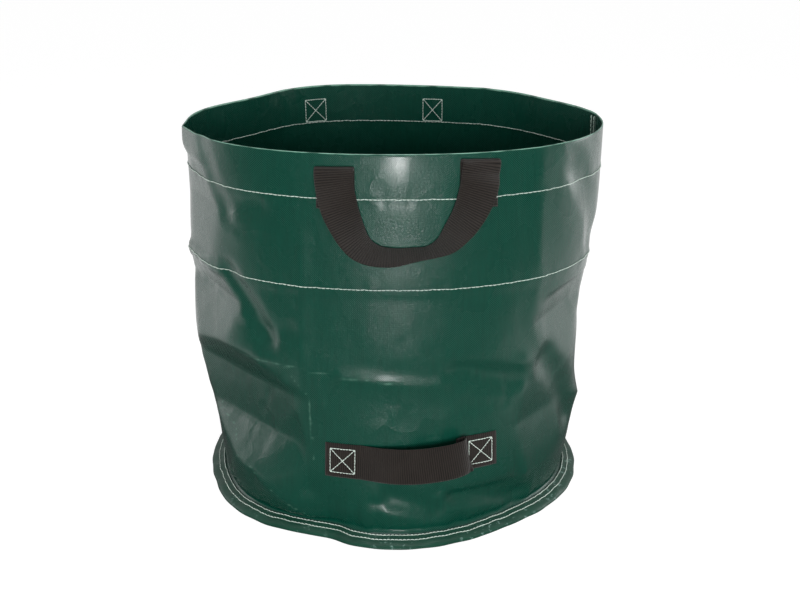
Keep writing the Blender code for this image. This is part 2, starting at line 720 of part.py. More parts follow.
def add_hem_threads():
    """Both rows of thread of the hem, on the outer face and on the hem's inner face."""
    def upper(degrees, up, out):
        return wall_point(degrees, UPPER_STITCH_HEIGHT + up, SEAT + over_webbing(degrees) + out)

    def lower(degrees, up, out):
        return wall_point(degrees, LOWER_STITCH_HEIGHT + up, SEAT + out)

    def upper_inside(degrees, up, out):
        return wall_point(degrees, UPPER_STITCH_HEIGHT + up, -HEM_INSET - SEAT - out)

    def lower_inside(degrees, up, out):
        return wall_point(degrees, LOWER_STITCH_HEIGHT + up, -HEM_INSET - SEAT - out)

    add_ring_thread("upper_hem_thread", upper)
    add_ring_thread("lower_hem_thread", lower)
    add_ring_thread("upper_hem_thread_inside", upper_inside)
    add_ring_thread("lower_hem_thread_inside", lower_inside)


def add_seam_threads():
    """Two rows of thread through the binding, on its upper face."""
    def outer(degrees, up, out):
        return seam_point(degrees, OUTER_STITCH_INSET + up, SEAM_TOP + SEAT + out)

    def inner(degrees, up, out):
        return seam_point(degrees, INNER_STITCH_INSET + up, SEAM_TOP + SEAT + out)

    add_ring_thread("seam_thread_outer", outer)
    add_ring_thread("seam_thread_inner", inner)


def add_side_seam_threads():
    """Two rows of thread that close the side of the sheet, on the hem's inner face.

    They lie between columns, so they also stand clear of the sag of the facets there.
    """
    low = LOWER_STITCH_HEIGHT + 2 * THREAD
    high = UPPER_STITCH_HEIGHT - 2 * THREAD
    heights = [low] + [height for height in wall_rows()[1] if low < height < high] + [high]
    seat = -HEM_INSET - SEAT - 2 * COLUMN_SAG
    half = math.degrees(THREAD / 2 / BASE_RADIUS)
    for name, side in (("side_seam_thread_front", -0.5), ("side_seam_thread_rear", 0.5)):
        degrees = SIDE_SEAM_ANGLE + side * SIDE_SEAM_PITCH
        points = []
        for height in heights:
            points.append(wall_point(degrees - half, height, seat))
            points.append(wall_point(degrees + half, height, seat))
            points.append(wall_point(degrees, height, seat - THREAD * 0.8))
        faces = [(0, 1, 2), (len(points) - 3, len(points) - 2, len(points) - 1)]
        for row in range(len(heights) - 1):
            for index in range(3):
                after = (index + 1) % 3
                faces.append((row * 3 + index, row * 3 + after, row * 3 + 3 + after, row * 3 + 3 + index))
        add_piece(name, points, faces, "thread", smooth=False)


def box_outline():
    """Flat points and faces of a box stitch: a square of thread with a cross in it."""
    half = BOX_STITCH / 2
    core = THREAD * 0.7
    corners = [(-half, -half), (half, -half), (half, half), (-half, half)]
    points = list(corners)
    near = half - THREAD
    slip = THREAD * 0.8
    for side in range(4):
        axis = math.pi / 2 * side
        cos, sin = math.cos(axis), math.sin(axis)
        for x, y in ((-near + slip, -near), (near - slip, -near), (0.0, -core)):
            points.append((x * cos - y * sin, x * sin + y * cos))
    faces = []
    for side in range(4):
        first = 4 + 3 * side
        before = 4 + 3 * ((side + 3) % 4)
        faces.append((side, (side + 1) % 4, first + 1, first))
        faces.append((side, first, first + 2, before + 2, before + 1))
    faces.append((6, 9, 12, 15))
    return points, faces


def add_box_stitch(name, strap, along, outward):
    """A box stitch on the outer face of a strap's sewn end; outward is the sign of that face."""
    flat, faces = box_outline()
    points = []
    for level in (WEBBING / 2 + BOX_SEAT, WEBBING / 2 + BOX_SEAT + THREAD * 0.7):
        for x, y in flat:
            points.append(strap.point(along + x, y, outward * level))
    count = len(flat)
    solid = [tuple(face) for face in faces]
    solid += [tuple(count + index for index in reversed(face)) for face in faces]
    used = {}
    for face in faces:
        for start, end in zip(face, face[1:] + face[:1]):
            used[(start, end)] = True
    for start, end in used:
        if (end, start) not in used:
            solid.append((start, count + start, count + end, end))
    add_piece(name, points, solid, "thread", smooth=False)


def main():
    clear_scene()
    add_side_wall()
    add_base_panel()
    add_base_binding()
    add_hem_threads()
    add_seam_threads()
    add_side_seam_threads()
    handles = {
        "front_handle": Webbing(upper_route()),
        "rear_handle": Webbing(upper_route(), half_turn=True),
        "lower_handle": Webbing(lower_route()),
    }
    for name, strap in handles.items():
        add_webbing(name, strap)
        flat = name == "lower_handle"
        margin = LOWER_BOX_MARGIN if flat else UPPER_BOX_MARGIN
        first = margin + BOX_STITCH / 2
        outward = 1 if flat else -1
        add_box_stitch(f"{name}_box_stitch_left", strap, first, outward)
        add_box_stitch(f"{name}_box_stitch_right", strap, strap.length - first, outward)


main()
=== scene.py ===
import math
from collections import namedtuple

import bpy
import numpy as np
from bpy.props import FloatProperty, FloatVectorProperty, IntProperty, PointerProperty
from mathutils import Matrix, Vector
from mathutils.geometry import delaunay_2d_cdt


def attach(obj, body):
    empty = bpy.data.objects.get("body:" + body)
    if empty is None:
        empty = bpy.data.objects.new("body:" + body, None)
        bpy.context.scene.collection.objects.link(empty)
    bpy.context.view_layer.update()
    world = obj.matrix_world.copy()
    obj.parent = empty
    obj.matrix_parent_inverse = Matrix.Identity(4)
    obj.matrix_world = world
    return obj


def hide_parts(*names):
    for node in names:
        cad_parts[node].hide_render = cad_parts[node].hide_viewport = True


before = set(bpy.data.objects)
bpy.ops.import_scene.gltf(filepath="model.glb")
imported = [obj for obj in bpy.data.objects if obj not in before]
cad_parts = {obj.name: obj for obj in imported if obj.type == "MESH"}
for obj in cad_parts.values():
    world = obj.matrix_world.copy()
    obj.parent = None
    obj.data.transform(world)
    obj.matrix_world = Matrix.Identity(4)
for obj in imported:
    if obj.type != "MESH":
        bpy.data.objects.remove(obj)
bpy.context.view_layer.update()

bl_info = {
    "name": "Garden waste bag",
    "version": (1, 0, 0),
    "blender": (4, 5, 0),
    "location": "3D View > Sidebar > Bag",
    "description": "Dresses the packed garden waste bag: coated woven sheet, webbing, binding and stitches",
    "category": "Object",
}

# Side wall and base
WALL_HEIGHT = 0.433
BASE_RADIUS = 0.2105
SHEET = 0.0006
GATHER_EASE = 0.0045
GATHER_HEIGHT = 0.040
RIM_LEAN = 0.015
RIM_SQUARENESS = 0.25
CREASE_ROUND = 0.0022
BASE_FLAT_RADIUS = 0.185

# Hem, measured down from the rim
HEM_DEPTH = 0.149
UPPER_STITCH_DEPTH = 0.047
LOWER_STITCH_DEPTH = 0.143
PLY_GAP = 0.0004

# Bound seam round the base
SEAM_WIDTH = 0.0195
SEAM_RISE = 0.0080
BINDING_WIDTH = 0.0165
BINDING = 0.0005
OUTER_STITCH_INSET = 0.0090
INNER_STITCH_INSET = 0.0150

# Webbing handles
WEBBING_WIDTH = 0.040
WEBBING = 0.0015
SEWN_LENGTH = 0.0425
SEWN_TOP_DEPTH = 0.0145
RIGHT_FOLD_RISE = 0.008
FOLD_RADIUS = 0.0024
LOOP_DROP = 0.086
LOOP_STAND_OFF = 0.0225
LOWER_SEWN_LENGTH = 0.040
LOWER_BOW = 0.0215
LOWER_BOW_RISE = 0.011
UPPER_LEFT_ANGLE = -18.5
UPPER_RIGHT_ANGLE = 26.6
REAR_TURN = 183.5
LOWER_HANDLE_HEIGHT = 0.098
LOWER_LEFT_ANGLE = -16.0
LOWER_RIGHT_ANGLE = 27.0
LOWER_HANDLE_TILT = 0.006
CALM_MARGIN = 0.018
CALM_FADE = 0.016

# Threads
BOX_STITCH = 0.028
UPPER_BOX_MARGIN = 0.0115
LOWER_BOX_MARGIN = 0.006
SIDE_SEAM_ANGLE = 95.0
SIDE_SEAM_PITCH = 2.0

# Clearance between pieces that touch on the real bag
SEAT = 0.0003

# Half width of the wall beyond the base, left and right, at shares of the wall height
WIDENING = (
    (0.00, 0.0000, 0.0000),
    (0.12, 0.0090, 0.0085),
    (0.22, 0.0150, 0.0135),
    (0.32, 0.0240, 0.0120),
    (0.42, 0.0310, 0.0125),
    (0.50, 0.0325, 0.0125),
    (0.68, 0.0310, 0.0240),
    (0.80, 0.0325, 0.0285),
    (1.00, 0.0320, 0.0310),
)

# A fold runs through points of angle and share of the wall height.  It lifts the sheet outwards, or
# inwards where lift is negative, and dies away within its reach above or left, and below or right.
Fold = namedtuple("Fold", "route lift reach_above reach_below crisp")
FOLDS = (
    # Creases left by packing the bag flat
    Fold(((-27.7, 1.00), (-29.2, 0.80), (-29.4, 0.63), (-28.5, 0.40)), 0.0022, 0.020, 0.020, True),
    Fold(((-139.0, 1.00), (-137.0, 0.86), (-138.0, 0.42)), 0.0030, 0.024, 0.024, True),
    Fold(((46.0, 0.98), (47.0, 0.55)), 0.0018, 0.024, 0.024, True),
    Fold(((146.0, 1.00), (148.0, 0.50), (147.0, 0.12)), 0.0028, 0.028, 0.028, True),
    Fold(((-17.0, 0.445), (-4.5, 0.436), (9.0, 0.424), (24.0, 0.43)), 0.0030, 0.016, 0.030, True),
    Fold(((120.0, 0.43), (165.0, 0.45), (205.0, 0.42)), 0.0035, 0.030, 0.034, True),
    # Corner of the left side, and the hem's own furrows
    Fold(((-78.0, 1.00), (-79.0, 0.86), (-80.0, 0.66)), 0.0045, 0.030, 0.030, True),
    Fold(((-64.5, 0.99), (-58.5, 0.88), (-55.0, 0.82)), -0.0028, 0.018, 0.014, False),
    Fold(((-75.0, 0.87), (-58.0, 0.85), (-43.0, 0.86)), -0.0022, 0.014, 0.020, False),
    Fold(((60.0, 0.93), (70.0, 0.80), (72.0, 0.72)), -0.0035, 0.026, 0.022, False),
    # Furrow that crosses the left of the front
    Fold(((-55.0, 0.67), (-46.4, 0.585), (-41.0, 0.515)), -0.0060, 0.020, 0.016, False),
    Fold(((-24.8, 0.445), (-23.1, 0.36)), 0.0020, 0.010, 0.010, True),
    Fold(((-31.0, 0.34), (-28.1, 0.287), (-23.6, 0.231), (-20.0, 0.17)), 0.0030, 0.016, 0.014, True),
    # Dents round the lower front and the right side
    Fold(((21.0, 0.445), (32.0, 0.425), (42.0, 0.405)), -0.0045, 0.022, 0.024, False),
    Fold(((43.5, 0.44), (44.0, 0.26), (45.0, 0.10)), 0.0042, 0.026, 0.026, True),
    Fold(((55.0, 0.42), (63.0, 0.31), (70.0, 0.22)), -0.0090, 0.036, 0.032, False),
    Fold(((-5.0, 0.130), (4.0, 0.105), (12.0, 0.080)), -0.0050, 0.022, 0.018, False),
    Fold(((19.0, 0.115), (32.0, 0.090), (42.0, 0.062)), -0.0085, 0.034, 0.018, False),
    Fold(((84.0, 0.70), (96.0, 0.66), (108.0, 0.58)), -0.0060, 0.040, 0.040, False),
    Fold(((76.0, 0.25), (92.0, 0.20), (105.0, 0.22)), 0.0045, 0.034, 0.030, True),
    # The side away from the camera
    Fold(((118.0, 0.32), (130.0, 0.22), (139.0, 0.10)), -0.0080, 0.040, 0.034, False),
    Fold(((-170.0, 0.30), (-158.0, 0.20), (-150.0, 0.09)), -0.0070, 0.034, 0.032, False),
    Fold(((172.0, 0.60), (164.0, 0.52), (160.0, 0.46)), -0.0050, 0.030, 0.026, False),
    Fold(((-128.0, 0.62), (-118.0, 0.52), (-112.0, 0.44)), -0.0060, 0.032, 0.030, False),
    Fold(((-122.0, 0.36), (-108.0, 0.30), (-97.0, 0.19)), 0.0065, 0.034, 0.026, True),
    Fold(((-100.0, 0.13), (-112.0, 0.10), (-126.0, 0.12)), 0.0060, 0.024, 0.020, True),
)

# Lower left of the front, where the sheet buckled into flat facets between sharp creases.  Each
# crease runs through points of angle, share of the wall height and lift beyond the oval.
CREASES = (
    # Packing crease, and the ridge that turns down from its end
    ((-100.0, 0.400, 0.0000), (-80.5, 0.384, 0.0010), (-63.0, 0.438, 0.0050), (-54.0, 0.457, 0.0055),
     (-40.0, 0.460, 0.0050), (-34.8, 0.462, 0.0045), (-30.9, 0.420, 0.0040), (-26.8, 0.385, 0.0035),
     (-26.2, 0.305, 0.0020), (-25.5, 0.210, 0.0000)),
    ((-34.8, 0.462, 0.0045), (-13.5, 0.443, 0.0015), (0.0, 0.430, 0.0000)),
    # Ridge down the left edge, that ends in the one that hangs over the base seam
    ((-80.5, 0.384, 0.0010), (-80.6, 0.323, 0.0005), (-75.4, 0.280, 0.0015), (-70.3, 0.231, 0.0030),
     (-60.6, 0.205, 0.0060), (-55.0, 0.150, 0.0090), (-48.6, 0.145, 0.0105), (-41.6, 0.113, 0.0115),
     (-32.4, 0.066, 0.0100), (-27.0, 0.038, 0.0070), (-20.8, 0.028, 0.0015)),
    ((-55.0, 0.150, 0.0090), (-64.0, 0.055, 0.0020)),
    ((-70.3, 0.231, 0.0030), (-76.0, 0.130, 0.0000)),
    # Floor of the dark facet
    ((-60.0, 0.300, -0.0040), (-47.0, 0.270, -0.0065), (-34.0, 0.255, -0.0045)),
    # Furrow above, and points where the facets run out
    ((-78.0, 0.560, 0.0000), (-58.0, 0.550, -0.0015), (-46.0, 0.540, -0.0020), (-30.0, 0.560, 0.0000)),
    ((-104.0, 0.250, 0.0000), (-96.0, 0.060, 0.0000), (-70.0, 0.000, 0.0000), (-40.0, 0.000, 0.0000),
     (-12.0, 0.000, 0.0000), (-8.0, 0.120, 0.0000), (-6.0, 0.300, 0.0000), (4.0, 0.420, 0.0000)),
)

# Where the rim stands out of its oval, more than lower down: angle, reach in degrees, push
RIM_WAVES = (
    (-118.0, 19.0, -0.0240),
    (-151.0, 21.0, 0.0120),
    (116.0, 18.0, -0.0190),
    (186.0, 24.0, 0.0060),
)

# Where the base seam stands out or is tucked in: angle, reach in degrees, push
SEAM_WAVES = (
    (-54.0, 16.0, 0.0060),
    (-31.0, 8.0, -0.0040),
    (-20.0, 8.0, -0.0095),
    (8.0, 20.0, 0.0015),
    (36.0, 20.0, -0.0070),
    (104.0, 24.0, -0.0050),
    (150.0, 20.0, 0.0040),
    (-150.0, 16.0, -0.0050),
    (-100.0, 22.0, 0.0030),
)

# Levels of the plies in the base seam, measured up from its underside
BASE_PLY = BINDING + SEAT
WALL_PLY = BASE_PLY + SHEET + SEAT
TOP_BINDING_PLY = WALL_PLY + SHEET + SEAT
SEAM_TOP = TOP_BINDING_PLY + BINDING

# What follows from the sizes above
SEAM_SLOPE = SEAM_RISE / SEAM_WIDTH
HEM_INSET = 2 * SHEET + PLY_GAP
UPPER_STITCH_HEIGHT = WALL_HEIGHT - UPPER_STITCH_DEPTH
LOWER_STITCH_HEIGHT = WALL_HEIGHT - LOWER_STITCH_DEPTH
FOOT_TOP = SEAM_RISE + SEAM_TOP + 0.006
SEWN_OUT = SEAT + WEBBING / 2
HEM_END = WALL_HEIGHT - HEM_DEPTH
DEG_TO_SHEET = BASE_RADIUS * math.pi / 180.0

# Middles of the sewn ends of the webbing, which hold the sheet smooth: angle and height
UPPER_ANGLES = [angle + facing for facing in (0.0, REAR_TURN)
                for angle in (UPPER_LEFT_ANGLE, UPPER_RIGHT_ANGLE)]
SEWN_MIDDLE = WALL_HEIGHT - SEWN_TOP_DEPTH - SEWN_LENGTH / 2
SEWN_PATCHES = [(angle, SEWN_MIDDLE) for angle in UPPER_ANGLES] + [
    (LOWER_LEFT_ANGLE, LOWER_HANDLE_HEIGHT - LOWER_HANDLE_TILT / 2),
    (LOWER_RIGHT_ANGLE, LOWER_HANDLE_HEIGHT + LOWER_HANDLE_TILT / 2),
]

# Detail that only the looks have.  Stitches: the share of each left open, its rise and its wander
STITCH_GAP = 0.06
STITCH_ARCH = 0.00025
STITCH_WANDER = 0.00018
BOX_WANDER = 0.00008
SEAM_STITCH = 0.0042
STITCH_SIDES = 6

# Sheet: thickness, reach of the paleness beside the creases that get it (partly wear, partly painted
# highlight), creases strewn over it, and its steps and swells
WALL_SKIN = 0.0005
PALE_CREASE_REACH = 0.0030
PALE_CREASES = 5
CREASE_SEED = 29
CREASE_COUNT = 190
PUCKER = 0.00045
PUCKER_DIP = 0.00030
GATHER_SWELL = 0.0024
HEM_STEP = 0.0012
SIDE_SEAM_STEP = 0.0007
SEAM_RIPPLE = 0.0008
SEAM_LIFT = 0.0011
BASE_SWELL = 0.0007

# Meshes: columns of the base and radius of the cap at its middle, inset where the tape starts to
# bend, distance between the rows of a strap, and depth below the top where the rim starts to roll
BASE_COLUMNS = 240
CAP_RADIUS = 0.002
TAPE_BEND = 0.0022
STRAP_STEP = 0.0021
RIM_ROLL = 0.0030

# The rolled rim: depths below its top, and shares of the way in to the hem
RIM_PATH = ((0.0012, 0.0), (0.0004, 0.10), (0.0, 0.38), (0.0, 0.66), (0.0004, 0.92), (0.0012, 1.0))

# A crossed box: four sides and two diagonals, by the numbers of its corners
BOX_LINES = ((0, 1), (1, 2), (2, 3), (3, 0), (0, 2), (3, 1))

# The stage: floor and surroundings as the camera sees them straight and in a gloss
FLOOR_REACH = 6.0
FLOOR_LEVEL = -0.0004
FLOOR_GREY = 0.22
FLOOR_GLOW = 0.93
FLOOR_GLOSS = 0.95
WORLD_DIM = 0.22
WORLD_GLOSS = 0.33

# Lamps: name, place, target, width, height and power.  The front one is hidden from glosses, and
# the glint lamp stands in for it there.
HIDDEN_LAMP = "front_softbox"
LAMPS = (
    ("left_softbox", (-1.8, 0.5, 0.55), (0.0, 0.0, 0.26), 0.8, 0.9, 4.0),
    (HIDDEN_LAMP, (0.10, -2.4, 0.60), (0.0, 0.0, 0.24), 0.7, 0.7, 41.0),
    ("glint_lamp", (0.05, -2.4, 0.36), (0.0, 0.0, 0.34), 0.12, 0.12, 8.0),
    ("right_softbox", (1.8, 0.4, 0.55), (0.0, 0.0, 0.20), 0.8, 0.9, 9.0),
    ("top_softbox", (0.1, -0.3, 2.3), (0.0, 0.0, 0.2), 1.0, 1.0, 14.0),
)

# The camera of the photo: its place, its turn up from straight down, and its lens
CAMERA_PLACE = (0.0062, -1.38, 0.738)
CAMERA_TURN = 69.0
CAMERA_LENS = 54.4

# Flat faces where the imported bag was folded: the angle that each one faces, and its distance from
# the axis at heights, in metres.  Each cuts within a span of its angle, and its edge is rounded.
FACET_EDGE = 0.0013
FACET_SPAN = 75.0
FACETS = (
    # The dark face of the lower left, between the packing crease and the ridge over the base seam
    (-48.0, ((0.0, 0.262), (0.045, 0.240), (0.063, 0.2255), (0.105, 0.2010), (0.165, 0.2025),
             (0.199, 0.2240), (0.240, 0.275))),
    # The face above that crease, and those of the hem's left corner
    (-60.0, ((0.170, 0.290), (0.199, 0.2345), (0.255, 0.2180), (0.278, 0.2270), (0.300, 0.260))),
    (-62.0, ((0.270, 0.290), (0.300, 0.2320), (0.360, 0.2275), (0.400, 0.2340), (0.425, 0.255))),
    (-76.0, ((0.270, 0.290), (0.300, 0.2410), (0.350, 0.2385), (0.400, 0.2400), (0.428, 0.255))),
    # The right side
    (60.0, ((0.140, 0.300), (0.170, 0.2180), (0.235, 0.2085), (0.262, 0.2150), (0.285, 0.250))),
    (52.0, ((0.030, 0.300), (0.060, 0.2165), (0.120, 0.2075), (0.170, 0.2120), (0.210, 0.250))),
    # The rear
    (150.0, ((0.040, 0.235), (0.100, 0.2010), (0.200, 0.1980), (0.280, 0.225))),
    (-140.0, ((0.080, 0.240), (0.150, 0.2090), (0.260, 0.2050), (0.330, 0.240))),
)


# Shape of the sheet

def ease(share):
    """Smooth step from 0 to 1: three times the square less twice the cube."""
    share = np.clip(share, 0.0, 1.0)
    return share * share * (3.0 - 2.0 * share)


def through(values, places, at):
    """Smooth curve through values at the given places: a cubic between each two, with the slope at
    each place taken from its two neighbours."""
    values = np.asarray(values, float)
    places = np.asarray(places, float)
    last = len(places) - 1
    at = np.clip(at, places[0], places[last])
    here = np.clip(np.searchsorted(places, at, side="right") - 1, 0, last - 1)
    span = places[here + 1] - places[here]
    step = (at - places[here]) / span
    before = np.maximum(np.arange(last + 1) - 1, 0)
    after = np.minimum(np.arange(last + 1) + 1, last)
    slope = (values[after] - values[before]) / (places[after] - places[before])
    return ((2 * step**3 - 3 * step**2 + 1) * values[here]
            + (step**3 - 2 * step**2 + step) * span * slope[here]
            + (3 * step**2 - 2 * step**3) * values[here + 1]
            + (step**3 - step**2) * span * slope[here + 1])


def turn(degrees):
    """The same angle between -180 and 180."""
    return (degrees + 180.0) % 360.0 - 180.0


def unit(vectors):
    """Each vector divided by its own length."""
    return vectors / np.linalg.norm(vectors, axis=-1, keepdims=True)


def stand_out(degrees, bells):
    """How far the rim or the base seam stands out: a sum of bell curves over the angle."""
    total = np.zeros_like(degrees)
    for centre, reach, push in bells:
        total += push * np.exp(-(turn(degrees - centre) / reach) ** 2)
    return total


def line_distance(across, up, start, end):
    """Distance of points from a line between two points of the flat sheet, and the side they are on."""
    run = (end[0] - start[0], end[1] - start[1])
    gap_x = across - start[0]
    gap_y = up - start[1]
    along = np.clip((gap_x * run[0] + gap_y * run[1]) / (run[0]**2 + run[1]**2), 0.0, 1.0)
    off_x = gap_x - along * run[0]
    off_y = gap_y - along * run[1]
    return np.hypot(off_x, off_y), run[0] * off_y - run[1] * off_x


def fold_lift(fold, degrees, height):
    """What a fold adds to the radius: its lift, times a bell over the distance from its route."""
    mid = fold.route[len(fold.route) // 2][0]
    across = DEG_TO_SHEET * turn(degrees - mid)
    nearest = np.full(across.shape, 9.0)
    side = np.zeros(across.shape)
    for start, end in zip(fold.route, fold.route[1:]):
        first = (DEG_TO_SHEET * turn(start[0] - mid), WALL_HEIGHT * start[1])
        second = (DEG_TO_SHEET * turn(end[0] - mid), WALL_HEIGHT * end[1])
        distance, hand = line_distance(across, height, first, second)
        side = np.where(distance < nearest, hand, side)
        nearest = np.minimum(distance, nearest)
    part = np.clip(nearest / np.where(side > 0, fold.reach_above, fold.reach_below), 0.0, 1.0)
    shape = (1.0 - part) ** 2 if fold.crisp else (1.0 - part * part) ** 2
    return fold.lift * shape


def facet_net():
    """The creases joined into triangles, each of three points of sideways, height and lift in metres."""
    places = []
    lifts = []
    joints = []
    for crease in CREASES:
        joints += [(len(places) + index, len(places) + index + 1) for index in range(len(crease) - 1)]
        for degrees, share, lift in crease:
            places.append(Vector((DEG_TO_SHEET * degrees, WALL_HEIGHT * share)))
            lifts.append(lift)
    corners, _, triangles, sources, _, _ = delaunay_2d_cdt(places, joints, [], 0, 1e-6)
    return [[(corners[index].x, corners[index].y, lifts[sources[index][0]]) for index in triangle]
            for triangle in triangles]


def facet_lift(degrees, height):
    """What the facets add to the radius: flat between the corners of each triangle of the net, and
    the mean of four places a few millimetres apart, which rounds the creases."""
    total = np.zeros(degrees.shape)
    sideways = DEG_TO_SHEET * turn(degrees)
    near = (sideways > NET_BOX[0]) & (sideways < NET_BOX[1]) & (height < NET_BOX[2])
    if not near.any():
        return total
    for off_x, off_y in ((-1, -1), (-1, 1), (1, -1), (1, 1)):
        x = sideways[near] + off_x * CREASE_ROUND
        y = height[near] + off_y * CREASE_ROUND
        found = np.zeros(x.shape)
        for (ax, ay, a), (bx, by, b), (cx, cy, c) in NET:
            size = (bx - ax) * (cy - ay) - (cx - ax) * (by - ay)
            if abs(size) < 1e-9:
                continue
            second = ((x - ax) * (cy - ay) - (cx - ax) * (y - ay)) / size
            third = ((bx - ax) * (y - ay) - (x - ax) * (by - ay)) / size
            within = (second >= 0.0) & (third >= 0.0) & (second + third <= 1.0)
            found = np.where(within, a + (b - a) * second + (c - a) * third, found)
        total[near] += found
    return total / 4


NET = facet_net()
NET_POINTS = [corner for triangle in NET for corner in triangle]
NET_BOX = (min(point[0] for point in NET_POINTS) - CREASE_ROUND,
           max(point[0] for point in NET_POINTS) + CREASE_ROUND,
           max(point[1] for point in NET_POINTS) + CREASE_ROUND)


def flatten(radius, degrees, height):
    """The radius cut by flat faces: a face at distance d from the axis, square to its own angle,
    has the radius d / cos(angle off it), d follows a broken line over the height, and the smaller
    of face and wall is kept, with a rounded edge: (a + b - sqrt((a - b)^2 + 4 e^2)) / 2."""
    for facing, profile in FACETS:
        off = np.radians(np.clip(turn(degrees - facing), -FACET_SPAN, FACET_SPAN))
        heights, distances = zip(*profile)
        face = np.interp(height, heights, distances) / np.cos(off)
        radius = (radius + face - np.sqrt((radius - face) ** 2 + 4 * FACET_EDGE**2)) / 2
    return radius


def calm(degrees, height):
    """1 on the open sheet, 0 under the sewn ends of the webbing, which hold the sheet smooth."""
    half = WEBBING_WIDTH / 2 + CALM_MARGIN
    loose = np.ones_like(degrees)
    for centre, level in SEWN_PATCHES:
        off_x = np.abs(DEG_TO_SHEET * turn(degrees - centre))
        off_y = np.abs(height - level)
        loose = np.minimum(loose, ease((np.maximum(off_x, off_y) - half) / CALM_FADE))
    return loose


def crease_wear_and_sheen(degrees, height):
    """1 on the creases of the folded corner, fading as a bell curve of their distance; there the sheet is
    painted pale, partly as wear and partly as a painted highlight on the crests.
    """
    pale_wear_and_sheen = np.zeros(np.broadcast_shapes(degrees.shape, height.shape))
    for crease in CREASES[:PALE_CREASES]:
        for (first, low, _), (last, high, _) in zip(crease, crease[1:]):
            across = DEG_TO_SHEET * turn(degrees - first)
            end = (DEG_TO_SHEET * (last - first), WALL_HEIGHT * (high - low))
            distance, _ = line_distance(across, height - WALL_HEIGHT * low, (0.0, 0.0), end)
            pale_wear_and_sheen = np.maximum(pale_wear_and_sheen, np.exp(-(distance / PALE_CREASE_REACH) ** 2))
    return pale_wear_and_sheen


def waves(degrees, counts, phases):
    """Ripples round the bag: a mean of sines with whole numbers of waves in the circle."""
    angle = np.radians(degrees)
    return sum(np.sin(count * angle + phase) for count, phase in zip(counts, phases)) / len(counts)


def scattered_creases():
    """Short creases strewn over the flat sheet from a fixed seed: middle, run, lift and reach of each."""
    rng = np.random.default_rng(CREASE_SEED)
    count = CREASE_COUNT
    degrees = rng.uniform(-180.0, 180.0, count)
    height = rng.uniform(0.02, 0.42, count)
    corner = rng.random(count) < 0.34
    degrees = np.where(corner, rng.uniform(-86.0, -22.0, count), degrees)
    height = np.where(corner, rng.uniform(0.02, 0.25, count), height)
    heading = rng.normal(1.35, 0.75, count)
    length = rng.uniform(0.015, 0.060, count)
    lift = rng.uniform(0.00025, 0.00085, count) * np.where(rng.random(count) < 0.6, 1.0, -1.0)
    lift = np.where(corner, lift * 0.6, lift)
    lift = np.where(height > HEM_END, lift * 0.45, lift)
    smooth_front = (np.abs(degrees - 12.0) < 34.0) & (height > 0.19)
    lift = np.where(smooth_front, lift * 0.4, lift)
    reach = rng.uniform(0.009, 0.017, count)
    return np.stack([degrees, height, heading, length, lift, reach], axis=1)


SCATTERED = scattered_creases()


def crumple(degrees, height):
    """Sum of the scattered creases: each lifts the sheet by the square of what is left of its reach."""
    total = np.zeros_like(degrees)
    for middle, level, heading, length, lift, reach in SCATTERED:
        run = (math.cos(heading) * length / 2, math.sin(heading) * length / 2)
        across = DEG_TO_SHEET * turn(degrees - middle)
        distance, _ = line_distance(across, height - level, (-run[0], -run[1]), run)
        total += lift * np.clip(1.0 - distance / reach, 0.0, 1.0) ** 2
    return total


def sheet_detail(degrees, height):
    """Fine relief of the sheet: creases, puckers at each row of stitches, gathers over the base
    seam, the step under the hem's end and the doubled sheet of the side seam."""
    relief = crumple(degrees, height)
    for level in (UPPER_STITCH_HEIGHT, LOWER_STITCH_HEIGHT):
        near = np.exp(-((height - level) / 0.009) ** 2)
        relief += PUCKER * near * waves(degrees, (43, 58, 71), (0.4, 2.1, 4.4))
        relief -= PUCKER_DIP * near
    foot = ease(1.0 - (height - SEAM_RISE) / 0.052)
    patchy = 0.55 + 0.45 * waves(degrees, (3, 7), (1.0, 2.6))
    relief += GATHER_SWELL * foot * patchy * waves(degrees, (31, 44, 57), (0.0, 1.7, 3.9))
    relief -= HEM_STEP * ease((HEM_END + 0.001 - height) / 0.005)
    aside = np.abs(DEG_TO_SHEET * turn(degrees - SIDE_SEAM_ANGLE))
    relief += SIDE_SEAM_STEP * ease((0.012 - aside) / 0.004)
    return relief * calm(degrees, height)


def wall(degrees, height, out=0.0, fine=True):
    """Points of the wall's outer face: a rounded oval whose half width and half depth change with
    height at a constant length round, plus folds and fine relief, at x = r sin a, y = lean - r cos a."""
    degrees, height = np.broadcast_arrays(np.asarray(degrees, float), np.asarray(height, float))
    share = height / WALL_HEIGHT
    angle = np.radians(degrees)
    places = [row[0] for row in WIDENING]
    left = BASE_RADIUS + through([row[1] for row in WIDENING], places, share)
    right = BASE_RADIUS + through([row[2] for row in WIDENING], places, share)
    round_radius = BASE_RADIUS + GATHER_EASE * ease(height / GATHER_HEIGHT)
    depth = np.sqrt(2 * round_radius**2 - ((left + right) / 2) ** 2)
    width = np.where(np.sin(angle) > 0, right, left)
    power = 2.0 + RIM_SQUARENESS * ease(share)
    radius = ((np.abs(np.sin(angle)) / width) ** power
              + (np.abs(np.cos(angle)) / depth) ** power) ** (-1.0 / power)
    rise = ease((height - SEAM_RISE) / (FOOT_TOP - SEAM_RISE))
    folds = facet_lift(degrees, height)
    for fold in FOLDS:
        folds += fold_lift(fold, degrees, height)
    radius += folds * rise * calm(degrees, height)
    radius += stand_out(degrees, RIM_WAVES) * share**2
    radius += stand_out(degrees, SEAM_WAVES) * (1.0 - ease(height / (2 * GATHER_HEIGHT)))
    if fine:
        radius = flatten(radius, degrees, height)
        radius += sheet_detail(degrees, height) * rise
    radius = radius + out
    lean = RIM_LEAN * share**3
    return np.stack([radius * np.sin(angle), lean - radius * np.cos(angle), height], axis=-1)


